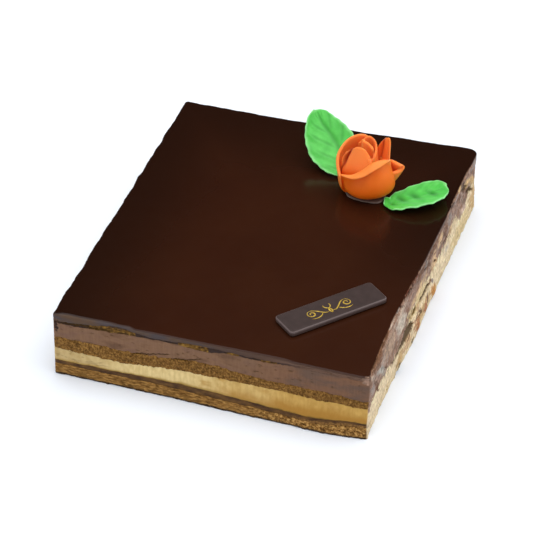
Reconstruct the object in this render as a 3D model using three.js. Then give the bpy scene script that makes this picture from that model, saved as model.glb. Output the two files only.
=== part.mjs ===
// Opera cake: a rectangular layered cake with a mirror-smooth chocolate glaze, a small
// chocolate plaque, and a marzipan rose with two marzipan leaves.
// Millimetres, +Z up. The origin is the middle of the underside; X runs along the short
// front edge and Y from the front to the back.
import * as THREE from 'three';
import { mergeVertices } from 'three/addons/utils/BufferGeometryUtils.js';

// ---- Driving dimensions, mm and degrees ----
const CAKE_WIDTH = 160;
const CAKE_LENGTH = 200.4;
const BACK_SKEW = 2;              // the back edge was cut slightly askew
const BACK_BOW = 1.3;             // and curves in this far at its middle
const CAKE_HEIGHT = 36;
const WALL_STEP = 6.2;            // spacing of the wall's points
const LAYER_GAP = 0.1;            // parting between one layer and the next
const SLUMP_LEFT = 0.5;           // how far the foot spreads past the top edge, at the left
const SLUMP_RIGHT = 3.2;          // the same, at the right
const SLUMP_POWER = 1.7;

const PLAQUE = {
  length: 55, width: 16, thickness: 2.9, bevel: 0.7, corner: 1.3, x: 48.1, y: -57.5, turn: 48.9,
};

const ROSE = { x: 34.8, y: 48.8, turn: 17.5, thickness: 1.15, rimThickness: 0.7 };
const OUTER_FOOT = 1.6;           // height over the glaze where the outer petals start
const INNER_FOOT = 4.2;           // the same for the inner ones, which stand on the heart's foot
const DAB = { radius: 11.6, height: 1.2, lobe: 0.3, lobeTurn: 296, lobeSpread: 13 };
const LEAF_THICKNESS = 1.2;
const REST_GAP = 0.3;             // clearance under what rests on the glaze

const DEG = Math.PI / 180;
const UP = new THREE.Vector3(0, 0, 1);

// ---- Levels between the layers: mean height, waviness, and local rises or dips ----
const LEVELS = {
  floor: { height: 0, wave: 0, phase: 0, bumps: [] },
  chocolate: {
    height: 6.2, wave: 0.4, phase: 0.3,
    bumps: [
      { x: 22, y: -100, spread: 18, rise: -1.2 },
      { x: 55, y: -100, spread: 13, rise: -2.4 },
      { x: 80, y: 20, spread: 30, rise: -0.8 },
    ],
  },
  buttercream: {
    height: 8.3, wave: 0.45, phase: 0.45,
    bumps: [
      { x: -40, y: -100, spread: 16, rise: 0.4 },
      { x: -8, y: -100, spread: 14, rise: 0.9 },
      { x: 22, y: -100, spread: 16, rise: -0.9 },
      { x: 52, y: -100, spread: 14, rise: -2.4 },
      { x: 80, y: 20, spread: 30, rise: -0.8 },
    ],
  },
  spongeMiddle: {
    height: 17.1, wave: 0.3, phase: 2.1,
    bumps: [
      { x: -66, y: -100, spread: 14, rise: -1.5 },
      { x: -44, y: -100, spread: 12, rise: -1.7 },
      { x: 60, y: -100, spread: 16, rise: -0.6 },
      { x: 80, y: -40, spread: 20, rise: -0.8 },
    ],
  },
  ganache: {
    height: 21.9, wave: 0.4, phase: 3.4,
    bumps: [
      { x: -66, y: -100, spread: 12, rise: 0.8 },
      { x: -4, y: -100, spread: 14, rise: 2.3 },
      { x: 77, y: -100, spread: 9, rise: -1 },
    ],
  },
  spongeTop: {
    height: 33, wave: 0.25, phase: 4.2,
    bumps: [
      { x: -72, y: -100, spread: 12, rise: -2.1 },
      { x: -48, y: -100, spread: 10, rise: -1 },
      { x: -26, y: -100, spread: 10, rise: -0.7 },
      { x: -4, y: -100, spread: 7, rise: -2 },
      { x: 24, y: -100, spread: 10, rise: -0.7 },
    ],
  },
  glaze: {
    height: 34, wave: 0.12, phase: 4.9,
    bumps: [
      { x: -74, y: -100, spread: 10, rise: -2.1 },
      { x: -46, y: -100, spread: 7, rise: 1.2 },
      { x: -24, y: -100, spread: 9, rise: -1.1 },
      { x: -5, y: -100, spread: 6, rise: 0.3 },
      { x: 24, y: -100, spread: 10, rise: -0.9 },
      { x: 80, y: 55, spread: 12, rise: 0.9 },
      { x: -10, y: 100, spread: 14, rise: 0.9 },
      { x: -80, y: -20, spread: 16, rise: 0.8 },
    ],
  },
  top: { height: CAKE_HEIGHT, wave: 0, phase: 0, bumps: [] },
};

// ---- The layers, from the bottom up. Rows run up the wall as [share of height, outward mm] ----
const LAYERS = [
  {
    name: 'sponge_bottom', lower: 'floor', upper: 'chocolate', crumb: 0.4, seed: 11,
    rows: [[0, 0], [0.3, 0.35], [0.72, 0.3], [1, 0]],
    look: { color: 0x7c5a32, roughness: 0.95 },
  },
  {
    name: 'chocolate_layer', lower: 'chocolate', upper: 'buttercream', crumb: 0.15, seed: 12,
    rows: [[0, -0.1], [0.5, 0.1], [1, -0.1]],
    look: { color: 0x4e3220, roughness: 0.7 },
  },
  {
    name: 'coffee_buttercream', lower: 'buttercream', upper: 'spongeMiddle', crumb: 0.2, seed: 13,
    rows: [[0, -0.1], [0.35, 0.15], [0.7, 0.1], [1, -0.15]],
    look: { color: 0xc09a60, roughness: 0.6 },
  },
  {
    name: 'sponge_middle', lower: 'spongeMiddle', upper: 'ganache', crumb: 0.4, seed: 14,
    rows: [[0, 0.05], [0.35, 0.35], [0.7, 0.3], [1, 0]],
    look: { color: 0x7a5830, roughness: 0.95 },
  },
  {
    name: 'ganache', lower: 'ganache', upper: 'spongeTop', crumb: 0.15, seed: 15,
    rows: [[0, -0.1], [0.35, 0.1], [0.7, 0.1], [1, 0]],
    look: { color: 0x775946, roughness: 0.6 },
  },
  {
    name: 'sponge_top', lower: 'spongeTop', upper: 'glaze', crumb: 0.25, seed: 16,
    rows: [[0, 0.05], [1, 0.05]],
    look: { color: 0x8a6436, roughness: 0.95 },
  },
  {
    name: 'glaze', lower: 'glaze', upper: 'top', crumb: 0.08, seed: 17,
    rows: [[0, 0], [0.45, 0.15], [0.85, -0.05], [1, -0.6]],
    look: { color: 0x34190f, roughness: 0.12 },
  },
];

// Places on the wall that stand in or out, where the knife dragged or the layers parted.
const WALL_MARKS = [
  { x: 80, y: -40, z: 15.6, spreadAlong: 17, spreadUp: 1.8, out: -2.2 },
  { x: 80, y: 2, z: 16.2, spreadAlong: 12, spreadUp: 1.4, out: -1.1 },
  { x: 80, y: 10, z: 9, spreadAlong: 22, spreadUp: 4, out: 0.6 },
  { x: 80, y: 72, z: 28, spreadAlong: 14, spreadUp: 4, out: -0.8 },
  { x: 80, y: -100, z: 36, spreadAlong: 22, spreadUp: 10, out: 1.2 },
  { x: 80, y: 75, z: 36, spreadAlong: 42, spreadUp: 8, out: 0.9 },
  { x: 80, y: -78, z: 1, spreadAlong: 22, spreadUp: 6, out: -0.9 },
  { x: 80, y: -18, z: 2, spreadAlong: 14, spreadUp: 5, out: 0.8 },
  { x: 57, y: -101, z: 0, spreadAlong: 8, spreadUp: 3, out: 1.5 },
  { x: 38, y: -101, z: 0.5, spreadAlong: 30, spreadUp: 3.5, out: 1.3 },
];

// ---- Outline of the cake seen from above, anticlockwise from the front-left corner ----
const CORNERS = [
  { signX: -1, signY: -1, radius: 1.2, shiftY: 0 },
  { signX: 1, signY: -1, radius: 1.4, shiftY: 0 },
  { signX: 1, signY: 1, radius: 4.5, shiftY: BACK_SKEW / 2 },
  { signX: -1, signY: 1, radius: 1.8, shiftY: -BACK_SKEW / 2 },
];
const CORNER_STEPS = 2;

function cornerPoints(corner, index) {
  const centreX = corner.signX * (CAKE_WIDTH / 2 - corner.radius);
  const centreY = corner.signY * (CAKE_LENGTH / 2 - corner.radius) + corner.shiftY;
  const firstAngle = (180 + 90 * index) * DEG;
  return Array.from({ length: CORNER_STEPS + 1 }, (_, step) => {
    const angle = firstAngle + (step / CORNER_STEPS) * 90 * DEG;
    const normalX = Math.cos(angle);
    const normalY = Math.sin(angle);
    return { x: centreX + corner.radius * normalX, y: centreY + corner.radius * normalY, normalX, normalY };
  });
}

function straightPoints(from, to) {
  const length = Math.hypot(to.x - from.x, to.y - from.y);
  const steps = Math.round(length / WALL_STEP);
  return Array.from({ length: steps - 1 }, (_, index) => {
    const share = (index + 1) / steps;
    return {
      x: THREE.MathUtils.lerp(from.x, to.x, share),
      y: THREE.MathUtils.lerp(from.y, to.y, share),
      normalX: from.normalX,
      normalY: from.normalY,
    };
  });
}

function bowBack(place) {
  const isBack = place.normalY > 0.99;
  const bow = isBack ? BACK_BOW * (1 - (2 * place.x / CAKE_WIDTH) ** 2) : 0;
  return { ...place, y: place.y - bow };
}

function cakeOutline() {
  const corners = CORNERS.map(cornerPoints);
  const places = corners.flatMap((points, index) => {
    const next = corners[(index + 1) % corners.length];
    return [...points, ...straightPoints(points[CORNER_STEPS], next[0])];
  });
  return places.map(bowBack);
}

const OUTLINE = cakeOutline();

// ---- Small helpers ----
function seededRandom(seed) {
  let state = seed >>> 0;
  return () => {
    state = (state + 0x6d2b79f5) >>> 0;
    let mixed = Math.imul(state ^ (state >>> 15), 1 | state);
    mixed = (mixed + Math.imul(mixed ^ (mixed >>> 7), 61 | mixed)) ^ mixed;
    return ((mixed ^ (mixed >>> 14)) >>> 0) / 4294967296;
  };
}

function gaussian(distance, spread) {
  return Math.exp(-0.5 * (distance / spread) ** 2);
}

function geometryFrom(vertices, triangles) {
  const geometry = new THREE.BufferGeometry();
  const coordinates = vertices.flatMap((vertex) => vertex.toArray());
  geometry.setAttribute('position', new THREE.Float32BufferAttribute(coordinates, 3));
  geometry.setIndex(triangles.flat());
  geometry.computeVertexNormals();
  return geometry;
}

// A closed body lofted through rings of equal count, with a point closing each end.
function loftedBody(rings, lowerCentre, upperCentre) {
  const count = rings[0].length;
  const vertices = [...rings.flat(), lowerCentre, upperCentre];
  const lowerIndex = rings.length * count;
  const upperIndex = lowerIndex + 1;
  const lastRing = (rings.length - 1) * count;
  const triangles = [];
  for (let i = 0; i < count; i += 1) {
    const next = (i + 1) % count;
    triangles.push([lowerIndex, next, i], [upperIndex, lastRing + i, lastRing + next]);
    for (let row = 0; row < rings.length - 1; row += 1) {
      const low = row * count;
      const high = low + count;
      triangles.push([low + i, low + next, high + next], [low + i, high + next, high + i]);
    }
  }
  return geometryFrom(vertices, triangles);
}

// A thin closed shell: one face follows the surface, the other lies behind it, and both
// are split into triangles alike.
function shellBody(surface, thicknessAt, stepsAlong, stepsUp) {
  const nudge = 1e-3;
  const front = [];
  const rear = [];
  for (let j = 0; j <= stepsUp; j += 1) {
    for (let i = 0; i <= stepsAlong; i += 1) {
      const u = i / stepsAlong;
      const v = j / stepsUp;
      const point = surface(u, v);
      const along = surface(Math.min(u + nudge, 1), v).sub(surface(Math.max(u - nudge, 0), v));
      const upward = surface(u, Math.min(v + nudge, 1)).sub(surface(u, Math.max(v - nudge, 0)));
      const normal = along.cross(upward).normalize();
      front.push(point);
      rear.push(point.clone().addScaledVector(normal, -thicknessAt(u, v)));
    }
  }
  const row = stepsAlong + 1;
  const offset = front.length;
  const triangles = [];
  const strip = (a, b) => triangles.push([a, a + offset, b + offset], [a, b + offset, b]);
  for (let j = 0; j < stepsUp; j += 1) {
    for (let i = 0; i < stepsAlong; i += 1) {
      const a = j * row + i;
      const b = a + 1;
      const c = b + row;
      const d = a + row;
      triangles.push([a, b, c], [a, c, d]);
      triangles.push([a + offset, c + offset, b + offset], [a + offset, d + offset, c + offset]);
    }
  }
  for (let i = 0; i < stepsAlong; i += 1) {
    strip(i, i + 1);
    strip(stepsUp * row + i + 1, stepsUp * row + i);
  }
  for (let j = 0; j < stepsUp; j += 1) {
    strip((j + 1) * row, j * row);
    strip(j * row + stepsAlong, (j + 1) * row + stepsAlong);
  }
  return geometryFrom([...front, ...rear], triangles);
}

function standardMesh(name, geometry, look) {
  const mesh = new THREE.Mesh(geometry, new THREE.MeshStandardMaterial({ metalness: 0, ...look }));
  mesh.name = name;
  return mesh;
}

// ---- Cake layers ----
function levelHeight(level, x, y) {
  const turn = Math.atan2(y / CAKE_LENGTH, x / CAKE_WIDTH);
  const wave = Math.sin(5 * turn + level.phase) + 0.6 * Math.sin(13 * turn + 2.3 * level.phase)
    + 0.4 * Math.sin(29 * turn + 4.1 * level.phase);
  const bumps = level.bumps.reduce(
    (sum, bump) => sum + bump.rise * gaussian(Math.hypot(x - bump.x, y - bump.y), bump.spread), 0);
  return level.height + 0.5 * level.wave * wave + bumps;
}

// How far the wall at this height leans out along Y, because the foot has spread.
function slump(x, z) {
  const share = x / CAKE_WIDTH + 0.5;
  const reach = THREE.MathUtils.lerp(SLUMP_LEFT, SLUMP_RIGHT, share);
  return reach * Math.max(0, 1 - z / CAKE_HEIGHT) ** SLUMP_POWER;
}

function markDepth(x, y, z) {
  return WALL_MARKS.reduce((sum, mark) => {
    const along = Math.hypot(x - mark.x, y - mark.y);
    return sum + mark.out * gaussian(along, mark.spreadAlong) * gaussian(z - mark.z, mark.spreadUp);
  }, 0);
}

function wallPoint(place, z, outward) {
  const reach = outward + markDepth(place.x, place.y, z);
  const lean = 1 + slump(place.x, z) / (CAKE_LENGTH / 2);
  return new THREE.Vector3(place.x + place.normalX * reach, place.y * lean + place.normalY * reach, z);
}

function layerMesh(layer) {
  const random = seededRandom(layer.seed);
  const lower = LEVELS[layer.lower];
  const upper = LEVELS[layer.upper];
  const lowerGap = lower === LEVELS.floor ? 0 : LAYER_GAP / 2;
  const upperGap = upper === LEVELS.top ? 0 : LAYER_GAP / 2;
  const rings = layer.rows.map(([share, outward]) => OUTLINE.map((place) => {
    const low = levelHeight(lower, place.x, place.y) + lowerGap;
    const high = levelHeight(upper, place.x, place.y) - upperGap;
    const roughness = layer.crumb * (2 * random() - 1);
    return wallPoint(place, THREE.MathUtils.lerp(low, high, share), outward + roughness);
  }));
  const lowerCentre = new THREE.Vector3(0, 0, lower.height + lowerGap);
  const upperCentre = new THREE.Vector3(0, 0, upper.height - upperGap);
  return standardMesh(layer.name, loftedBody(rings, lowerCentre, upperCentre), layer.look);
}

// ---- Plaque: a thin bevelled tablet of dark chocolate ----
function plaqueMesh() {
  const { length, width, thickness, bevel, corner } = PLAQUE;
  const halfLength = length / 2 - bevel;
  const halfWidth = width / 2 - bevel;
  const shape = new THREE.Shape();
  shape.moveTo(-halfLength + corner, -halfWidth);
  shape.lineTo(halfLength - corner, -halfWidth);
  shape.absarc(halfLength - corner, -halfWidth + corner, corner, -90 * DEG, 0);
  shape.lineTo(halfLength, halfWidth - corner);
  shape.absarc(halfLength - corner, halfWidth - corner, corner, 0, 90 * DEG);
  shape.lineTo(-halfLength + corner, halfWidth);
  shape.absarc(-halfLength + corner, halfWidth - corner, corner, 90 * DEG, 180 * DEG);
  shape.lineTo(-halfLength, -halfWidth + corner);
  shape.absarc(-halfLength + corner, -halfWidth + corner, corner, 180 * DEG, 270 * DEG);
  const solid = new THREE.ExtrudeGeometry(shape, {
    depth: thickness - 2 * bevel,
    bevelThickness: bevel,
    bevelSize: bevel,
    bevelSegments: 2,
    curveSegments: 3,
  });
  solid.deleteAttribute('normal');
  solid.deleteAttribute('uv');
  const geometry = mergeVertices(solid, 1e-4);
  geometry.computeVertexNormals();
  const mesh = standardMesh('plaque', geometry, { color: 0x43332e, roughness: 0.3 });
  mesh.position.set(PLAQUE.x, PLAQUE.y, CAKE_HEIGHT + REST_GAP + bevel);
  mesh.rotation.z = PLAQUE.turn * DEG;
  return mesh;
}

// ---- Rose. A petal's edge is a row of [right, back, up] from the middle of the rose's foot,
// and its foot stands on a circle of footRadius from one angle to another. belly is how far
// it swells out low down, lean how far it comes out or in just under the edge, and neck the
// height of that place as a share of the edge's height. footThickness is how thick it is
// pressed at the foot. Any of these is one value, or one each for start, middle and end. ----
const PETALS = [
  {
    name: 'rose_petal_left', from: 58, to: 211, base: OUTER_FOOT, footRadius: [10.3, 10, 10.9],
    footThickness: [0.9, 2.6, 0.9], belly: [7, 6.6, 4.8], lean: [0, -1.6, -0.6], neck: 0.7,
    edge: [[5, 12.6, 18], [-0.2, 13.2, 24.7], [-5, 12.6, 25.1], [-9.9, 10.6, 23.6],
      [-13.2, 7.3, 21.6], [-15.5, 2.8, 19], [-15.8, -1.2, 16.6], [-15, -5.4, 14], [-13.8, -8.2, 12.2]],
  },
  {
    name: 'rose_petal_front', from: 202, to: 343, base: OUTER_FOOT, footRadius: [8.6, 10.2, 10.2],
    footThickness: [0.9, 2.6, 0.9], belly: [4.2, 15.8, 10.5], lean: [-4, -12, -1.5], neck: [1, 1.42, 0.75],
    edge: [[-12.6, -8, 14.2], [-6.6, -15.2, 16.4], [-2.1, -16.2, 18.2], [2.5, -15.4, 21],
      [7.1, -12.6, 22.5], [10.1, -8.8, 22.4], [12.3, -4.6, 20.5]],
  },
  {
    name: 'rose_petal_right', from: 66, to: -28, base: OUTER_FOOT, footRadius: [8.2, 9.2, 8.1],
    footThickness: [0.9, 1.8, 0.9], belly: [3, 6.8, 1.4], lean: [-1, -1.9, -1.5], neck: 0.66,
    edge: [[6.6, 10.9, 12.4], [13, 5.5, 14.2], [16.4, 1.2, 15.4], [19.5, -2, 15.1],
      [17.2, -3.8, 13.2], [10.2, -4.1, 11.4]],
  },
  {
    name: 'rose_petal_upright', from: 70, to: 8, base: INNER_FOOT, footRadius: 6.6, footThickness: 1.1,
    belly: 3.4, lean: 0.5, neck: 0.6,
    edge: [[5.5, 11.4, 17.5], [7.7, 10.6, 22.4], [10.6, 9.2, 25.5], [12.1, 7.2, 26.3],
      [12.4, 4, 21.4], [12, 1.4, 17.2]],
  },
  {
    name: 'rose_petal_back', from: 118, to: -54, base: INNER_FOOT, footRadius: 4.9, footThickness: 1.1,
    belly: 2.5, lean: [0.7, 0.9, 1.4], neck: 0.55,
    edge: [[-4.4, 9.4, 22.3], [1.2, 11.3, 25.3], [4.7, 9.8, 23.4], [5.7, 6.6, 21.1],
      [4.6, 2.2, 19.9], [2.2, -2.2, 18.6]],
  },
  {
    name: 'rose_petal_inner', from: 184, to: 290, base: INNER_FOOT, footRadius: 6.4, footThickness: 1.6,
    belly: 4.6, lean: [1.4, 4.8, 6.8], neck: 0.62,
    edge: [[-11.2, 1.4, 18], [-10.4, -0.2, 22], [-7.8, -1.2, 25.4], [-4.6, -2, 26.8],
      [-1.1, -2.7, 25.7], [0.9, -4.1, 23.2], [1.5, -6.2, 20.4]],
  },
  {
    name: 'rose_petal_bud', from: 178, to: 352, base: INNER_FOOT, footRadius: 3.6, footThickness: 1.15,
    belly: 0.6, lean: 0.7, neck: 0.7,
    edge: [[-2.8, 4.6, 27.6], [-1.6, 2.6, 27], [0, 1.8, 26.3], [1.6, 1.2, 24.7], [1.9, 0.4, 22.5]],
  },
];
const PETAL_STEPS_ALONG = 13;
const PETAL_STEPS_UP = 7;
const BELLY_HEIGHT = 0.12;        // share of the edge's height where the petal swells out
const FOOT_REACH = 0.4;           // share of the petal's length that thins down from its foot

// The value at t of one number, or of three that stand for the start, middle and end.
function valueAlong(value, t) {
  if (!Array.isArray(value)) return value;
  const [start, middle, end] = value;
  return start * (1 - t) * (1 - 2 * t) + middle * 4 * t * (1 - t) + end * t * (2 * t - 1);
}

// Each petal rises from the foot's circle, swells, and ends at its own edge curve.
function petalSurface(petal) {
  const edge = new THREE.CatmullRomCurve3(petal.edge.map((point) => new THREE.Vector3(...point)));
  const flip = petal.to < petal.from;
  return (u, v) => {
    const t = flip ? 1 - u : u;
    const angle = THREE.MathUtils.lerp(petal.from, petal.to, t) * DEG;
    const outward = new THREE.Vector3(Math.cos(angle), Math.sin(angle), 0);
    const foot = outward.clone().multiplyScalar(valueAlong(petal.footRadius, t)).setZ(petal.base);
    const rim = edge.getPoint(t);
    const rise = rim.z - petal.base;
    const rimOutward = new THREE.Vector3(rim.x, rim.y, 0).normalize();
    const belly = foot.clone().addScaledVector(outward, valueAlong(petal.belly, t));
    belly.addScaledVector(UP, BELLY_HEIGHT * rise);
    const neck = rim.clone().addScaledVector(rimOutward, valueAlong(petal.lean, t));
    neck.addScaledVector(UP, (valueAlong(petal.neck, t) - 1) * rise);
    return new THREE.CubicBezierCurve3(foot, belly, neck, rim).getPoint(v);
  };
}

function petalThickness(petal) {
  const flip = petal.to < petal.from;
  return (u, v) => {
    const edgeNearness = Math.max(Math.abs(2 * u - 1) ** 6, v ** 4);
    const footNearness = 1 - THREE.MathUtils.smoothstep(v, 0, FOOT_REACH);
    const body = THREE.MathUtils.lerp(ROSE.thickness, ROSE.rimThickness, edgeNearness);
    const foot = valueAlong(petal.footThickness, flip ? 1 - u : u);
    return THREE.MathUtils.lerp(body, foot, footNearness);
  };
}

function petalMesh(petal) {
  const geometry = shellBody(petalSurface(petal), petalThickness(petal), PETAL_STEPS_ALONG, PETAL_STEPS_UP);
  return standardMesh(petal.name, geometry, { color: 0xe0702a, roughness: 0.5 });
}

// The heart of the rose: a tight solid bud on a round foot, which the inner petals stand on.
const HEART = {
  footRadius: 7.7, footShift: -0.3, footTop: 3.9, radius: 1.9, height: 24.6, shiftBack: 5.6,
  foldDepth: 0.5, twist: 150,
};
const HEART_RINGS = 5;
const HEART_SIDES = 16;

function budRing(share) {
  const swell = HEART.radius * (0.75 + 0.3 * Math.sin(Math.PI * share)) * (1 - 0.35 * share ** 3);
  const height = THREE.MathUtils.lerp(HEART.footTop, HEART.height, share);
  return Array.from({ length: HEART_SIDES }, (_, i) => {
    const angle = (i / HEART_SIDES) * 360;
    const fold = ((angle + HEART.twist * share) % 360) / 360;
    const radius = swell + HEART.foldDepth * share * (fold - 0.5);
    return new THREE.Vector3(
      radius * Math.cos(angle * DEG), HEART.shiftBack * share + radius * Math.sin(angle * DEG), height);
  });
}

function flatRing(radius, height) {
  return Array.from({ length: HEART_SIDES }, (_, i) => {
    const angle = (i / HEART_SIDES) * 2 * Math.PI;
    return new THREE.Vector3(HEART.footShift + radius * Math.cos(angle), radius * Math.sin(angle), height);
  });
}

function heartMesh() {
  const foot = [flatRing(HEART.footRadius, OUTER_FOOT), flatRing(HEART.footRadius, HEART.footTop - 0.3)];
  const shoulder = flatRing(HEART.footRadius - 0.4, HEART.footTop - 0.02);
  const bud = Array.from({ length: HEART_RINGS + 1 }, (_, row) => budRing(row / HEART_RINGS));
  const lowerCentre = new THREE.Vector3(0, 0, OUTER_FOOT);
  const upperCentre = new THREE.Vector3(0, HEART.shiftBack, HEART.height + 0.8);
  const body = loftedBody([...foot, shoulder, ...bud], lowerCentre, upperCentre);
  return standardMesh('rose_heart', body, { color: 0xdc6a26, roughness: 0.5 });
}

// The dab of chocolate that the rose is stuck down with. Some of it was pressed out to one side.
function dabMesh() {
  const sides = 28;
  const profile = [[0.97, 0], [1.02, 0.35], [0.99, 0.8], [0.9, 1]];
  const rings = profile.map(([spread, share]) => Array.from({ length: sides }, (_, i) => {
    const angle = (i / sides) * 2 * Math.PI;
    const lobe = DAB.lobe * gaussian(i * (360 / sides) - DAB.lobeTurn, DAB.lobeSpread);
    const wobble = spread * (1 + 0.03 * Math.sin(3 * angle + 1) + 0.025 * Math.sin(7 * angle) + lobe);
    return new THREE.Vector3(
      DAB.radius * wobble * Math.cos(angle), DAB.radius * wobble * Math.sin(angle), DAB.height * share);
  }));
  const lowerCentre = new THREE.Vector3(0, 0, 0);
  const upperCentre = new THREE.Vector3(0, 0, DAB.height);
  const body = loftedBody(rings, lowerCentre, upperCentre);
  const mesh = standardMesh('rose_dab', body, { color: 0x3a2a26, roughness: 0.4 });
  mesh.position.z = LAYER_GAP;
  return mesh;
}

function roseGroup() {
  const group = new THREE.Group();
  group.position.set(ROSE.x, ROSE.y, CAKE_HEIGHT);
  group.rotation.z = ROSE.turn * DEG;
  group.add(dabMesh(), heartMesh(), ...PETALS.map(petalMesh));
  return group;
}

// ---- Leaves: x runs along the midrib from the foot to the tip, y across, z up ----
const LEAVES = [
  {
    name: 'leaf_large', length: 39, width: 24.9, x: 23.1, y: 56, lift: 1.7, turn: 141.3, pitch: 32.8,
    roll: -19.5, fullness: 0.9, bluntness: 1.75, taper: 0.63, sag: 0.8, cup: 1, wave: 0.5,
  },
  {
    name: 'leaf_small', length: 33.7, width: 23.1, x: 49.3, y: 34.9, lift: 1.9, turn: 38.3, pitch: 6.7,
    roll: -7.6, fullness: 1.13, bluntness: 1.71, taper: 0.43, sag: 0.4, cup: 0.6, wave: 0.6,
  },
];
const LEAF_TEETH = 10;
const TOOTH_DEPTH = 0.4;
const VEIN_DEPTH = 0.35;
const LEAF_STEPS_ACROSS = 8;
const LEAF_STEPS_ALONG = 20;
const LEAF_END = 0.004;           // share of the length cut off each end, which keeps the tips blunt

function leafSurface(leaf) {
  return (u, s) => {
    const across = 1 - 2 * u;
    const v = s - 0.045 * Math.sin(2 * Math.PI * s);
    const shapePlace = LEAF_END + (1 - 2 * LEAF_END) * v;
    const plump = (1 - Math.abs(1 - 2 * shapePlace ** leaf.fullness) ** leaf.bluntness) ** leaf.taper;
    const tooth = TOOTH_DEPTH * (2 * Math.abs((s * LEAF_TEETH) % 1 - 0.5) - 0.5);
    const fade = Math.min(1, 8 * s * (1 - s));
    const half = 0.5 * leaf.width * plump + tooth * fade;
    const veinPhase = Math.cos(2 * Math.PI * (0.5 * LEAF_TEETH * s - 1.6 * Math.abs(across)));
    const groove = VEIN_DEPTH * fade * (0.7 * veinPhase * Math.abs(across) - 1.6 * gaussian(across, 0.14));
    const cup = leaf.cup * across ** 2;
    const sag = -leaf.sag * 4 * v * (1 - v);
    const wave = leaf.wave * Math.sin(2 * Math.PI * v + 2) * across ** 3;
    return new THREE.Vector3(v * leaf.length, across * half, groove + cup + sag + wave);
  };
}

function leafThickness(u, v) {
  const edgeNearness = Math.max(Math.abs(2 * u - 1) ** 4, (2 * v - 1) ** 8);
  return LEAF_THICKNESS * (1 - 0.35 * edgeNearness);
}

function leafMesh(leaf) {
  const geometry = shellBody(leafSurface(leaf), leafThickness, LEAF_STEPS_ACROSS, LEAF_STEPS_ALONG);
  const mesh = standardMesh(leaf.name, geometry, { color: 0x5cca58, roughness: 0.55 });
  mesh.rotation.order = 'ZYX';
  mesh.rotation.set(leaf.roll * DEG, -leaf.pitch * DEG, leaf.turn * DEG);
  mesh.position.set(leaf.x, leaf.y, CAKE_HEIGHT + leaf.lift);
  return mesh;
}

// ---- The whole cake ----
const group = new THREE.Group();
group.add(...LAYERS.map(layerMesh), plaqueMesh(), roseGroup(), ...LEAVES.map(leafMesh));

export default group;
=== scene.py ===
"""The looks of an opera cake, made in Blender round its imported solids.

Sizes are in millimetres, as in the part's source, and become metres where a mesh is made.
"""

import math
from collections import namedtuple
from functools import partial

import bpy
import numpy as np
from mathutils import Matrix, Vector


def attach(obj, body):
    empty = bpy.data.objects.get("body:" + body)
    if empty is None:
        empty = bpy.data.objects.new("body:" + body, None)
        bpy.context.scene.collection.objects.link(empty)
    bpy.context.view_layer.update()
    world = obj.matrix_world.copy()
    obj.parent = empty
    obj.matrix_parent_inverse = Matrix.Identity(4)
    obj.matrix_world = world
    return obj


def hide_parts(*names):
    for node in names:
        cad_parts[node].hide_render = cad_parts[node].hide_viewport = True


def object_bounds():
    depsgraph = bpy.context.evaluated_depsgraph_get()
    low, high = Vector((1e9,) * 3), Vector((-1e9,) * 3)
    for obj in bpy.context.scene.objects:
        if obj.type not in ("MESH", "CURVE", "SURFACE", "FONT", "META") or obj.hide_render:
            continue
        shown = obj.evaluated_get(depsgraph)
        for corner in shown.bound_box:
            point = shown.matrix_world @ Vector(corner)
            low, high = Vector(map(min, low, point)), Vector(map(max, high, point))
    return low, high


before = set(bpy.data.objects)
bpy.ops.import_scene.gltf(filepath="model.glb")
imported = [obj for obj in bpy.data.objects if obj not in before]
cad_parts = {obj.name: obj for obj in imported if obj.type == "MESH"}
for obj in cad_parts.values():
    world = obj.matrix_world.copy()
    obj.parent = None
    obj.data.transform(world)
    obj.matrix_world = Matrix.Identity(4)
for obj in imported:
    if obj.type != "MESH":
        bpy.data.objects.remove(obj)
CAD_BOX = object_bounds()
MM = 0.001

# ---- Driving dimensions, mm and degrees, as in the part's source ----
CAKE_WIDTH = 160
CAKE_LENGTH = 200.4
BACK_SKEW = 2
BACK_BOW = 1.3
CAKE_HEIGHT = 36
SLUMP_LEFT = 0.5
SLUMP_RIGHT = 3.2
SLUMP_POWER = 1.7
# Corners seen from above: side along X, side along Y, radius, and shift along Y.
CORNERS = [(-1, -1, 1.2, 0), (1, -1, 1.4, 0), (1, 1, 4.5, BACK_SKEW / 2), (-1, 1, 1.8, -BACK_SKEW / 2)]

# ---- How finely the walls are meshed ----
WALL_STEP = 0.4
CORNER_STEPS = 12
ROW_STEP = 0.32
BOX_MARGIN = 0.03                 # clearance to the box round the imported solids


# ---- Noise and small helpers ----
def hashed(a, b, seed):
    n = (a * 374761393 + b * 668265263 + seed * 974634777) & 0xFFFFFFFF
    n = ((n ^ (n >> 13)) * 1274126177) & 0xFFFFFFFF
    return ((n ^ (n >> 16)) & 0xFFFF) / 32767.5 - 1.0


def noise(a, b, seed):
    """Smooth noise from -1 to 1 over a plane, with lumps about one unit wide."""
    a, b = np.broadcast_arrays(np.asarray(a, float), np.asarray(b, float))
    column, row = np.floor(a).astype(np.int64), np.floor(b).astype(np.int64)
    u, v = a - column, b - row
    u, v = u * u * (3 - 2 * u), v * v * (3 - 2 * v)
    near = hashed(column, row, seed) * (1 - u) + hashed(column + 1, row, seed) * u
    far = hashed(column, row + 1, seed) * (1 - u) + hashed(column + 1, row + 1, seed) * u
    return near * (1 - v) + far * v


def rough(a, b, seed, octaves=3):
    """Noise with finer and finer detail, from about -1 to 1. A place that is divided by a length
    gives lumps of that length."""
    shares = [0.55 ** k for k in range(octaves)]
    total = sum(share * noise(a * 2 ** k + 7.3 * k, b * 2 ** k - 3.1 * k, seed + k)
                for k, share in enumerate(shares))
    return 1.5 * total / sum(shares)


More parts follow.
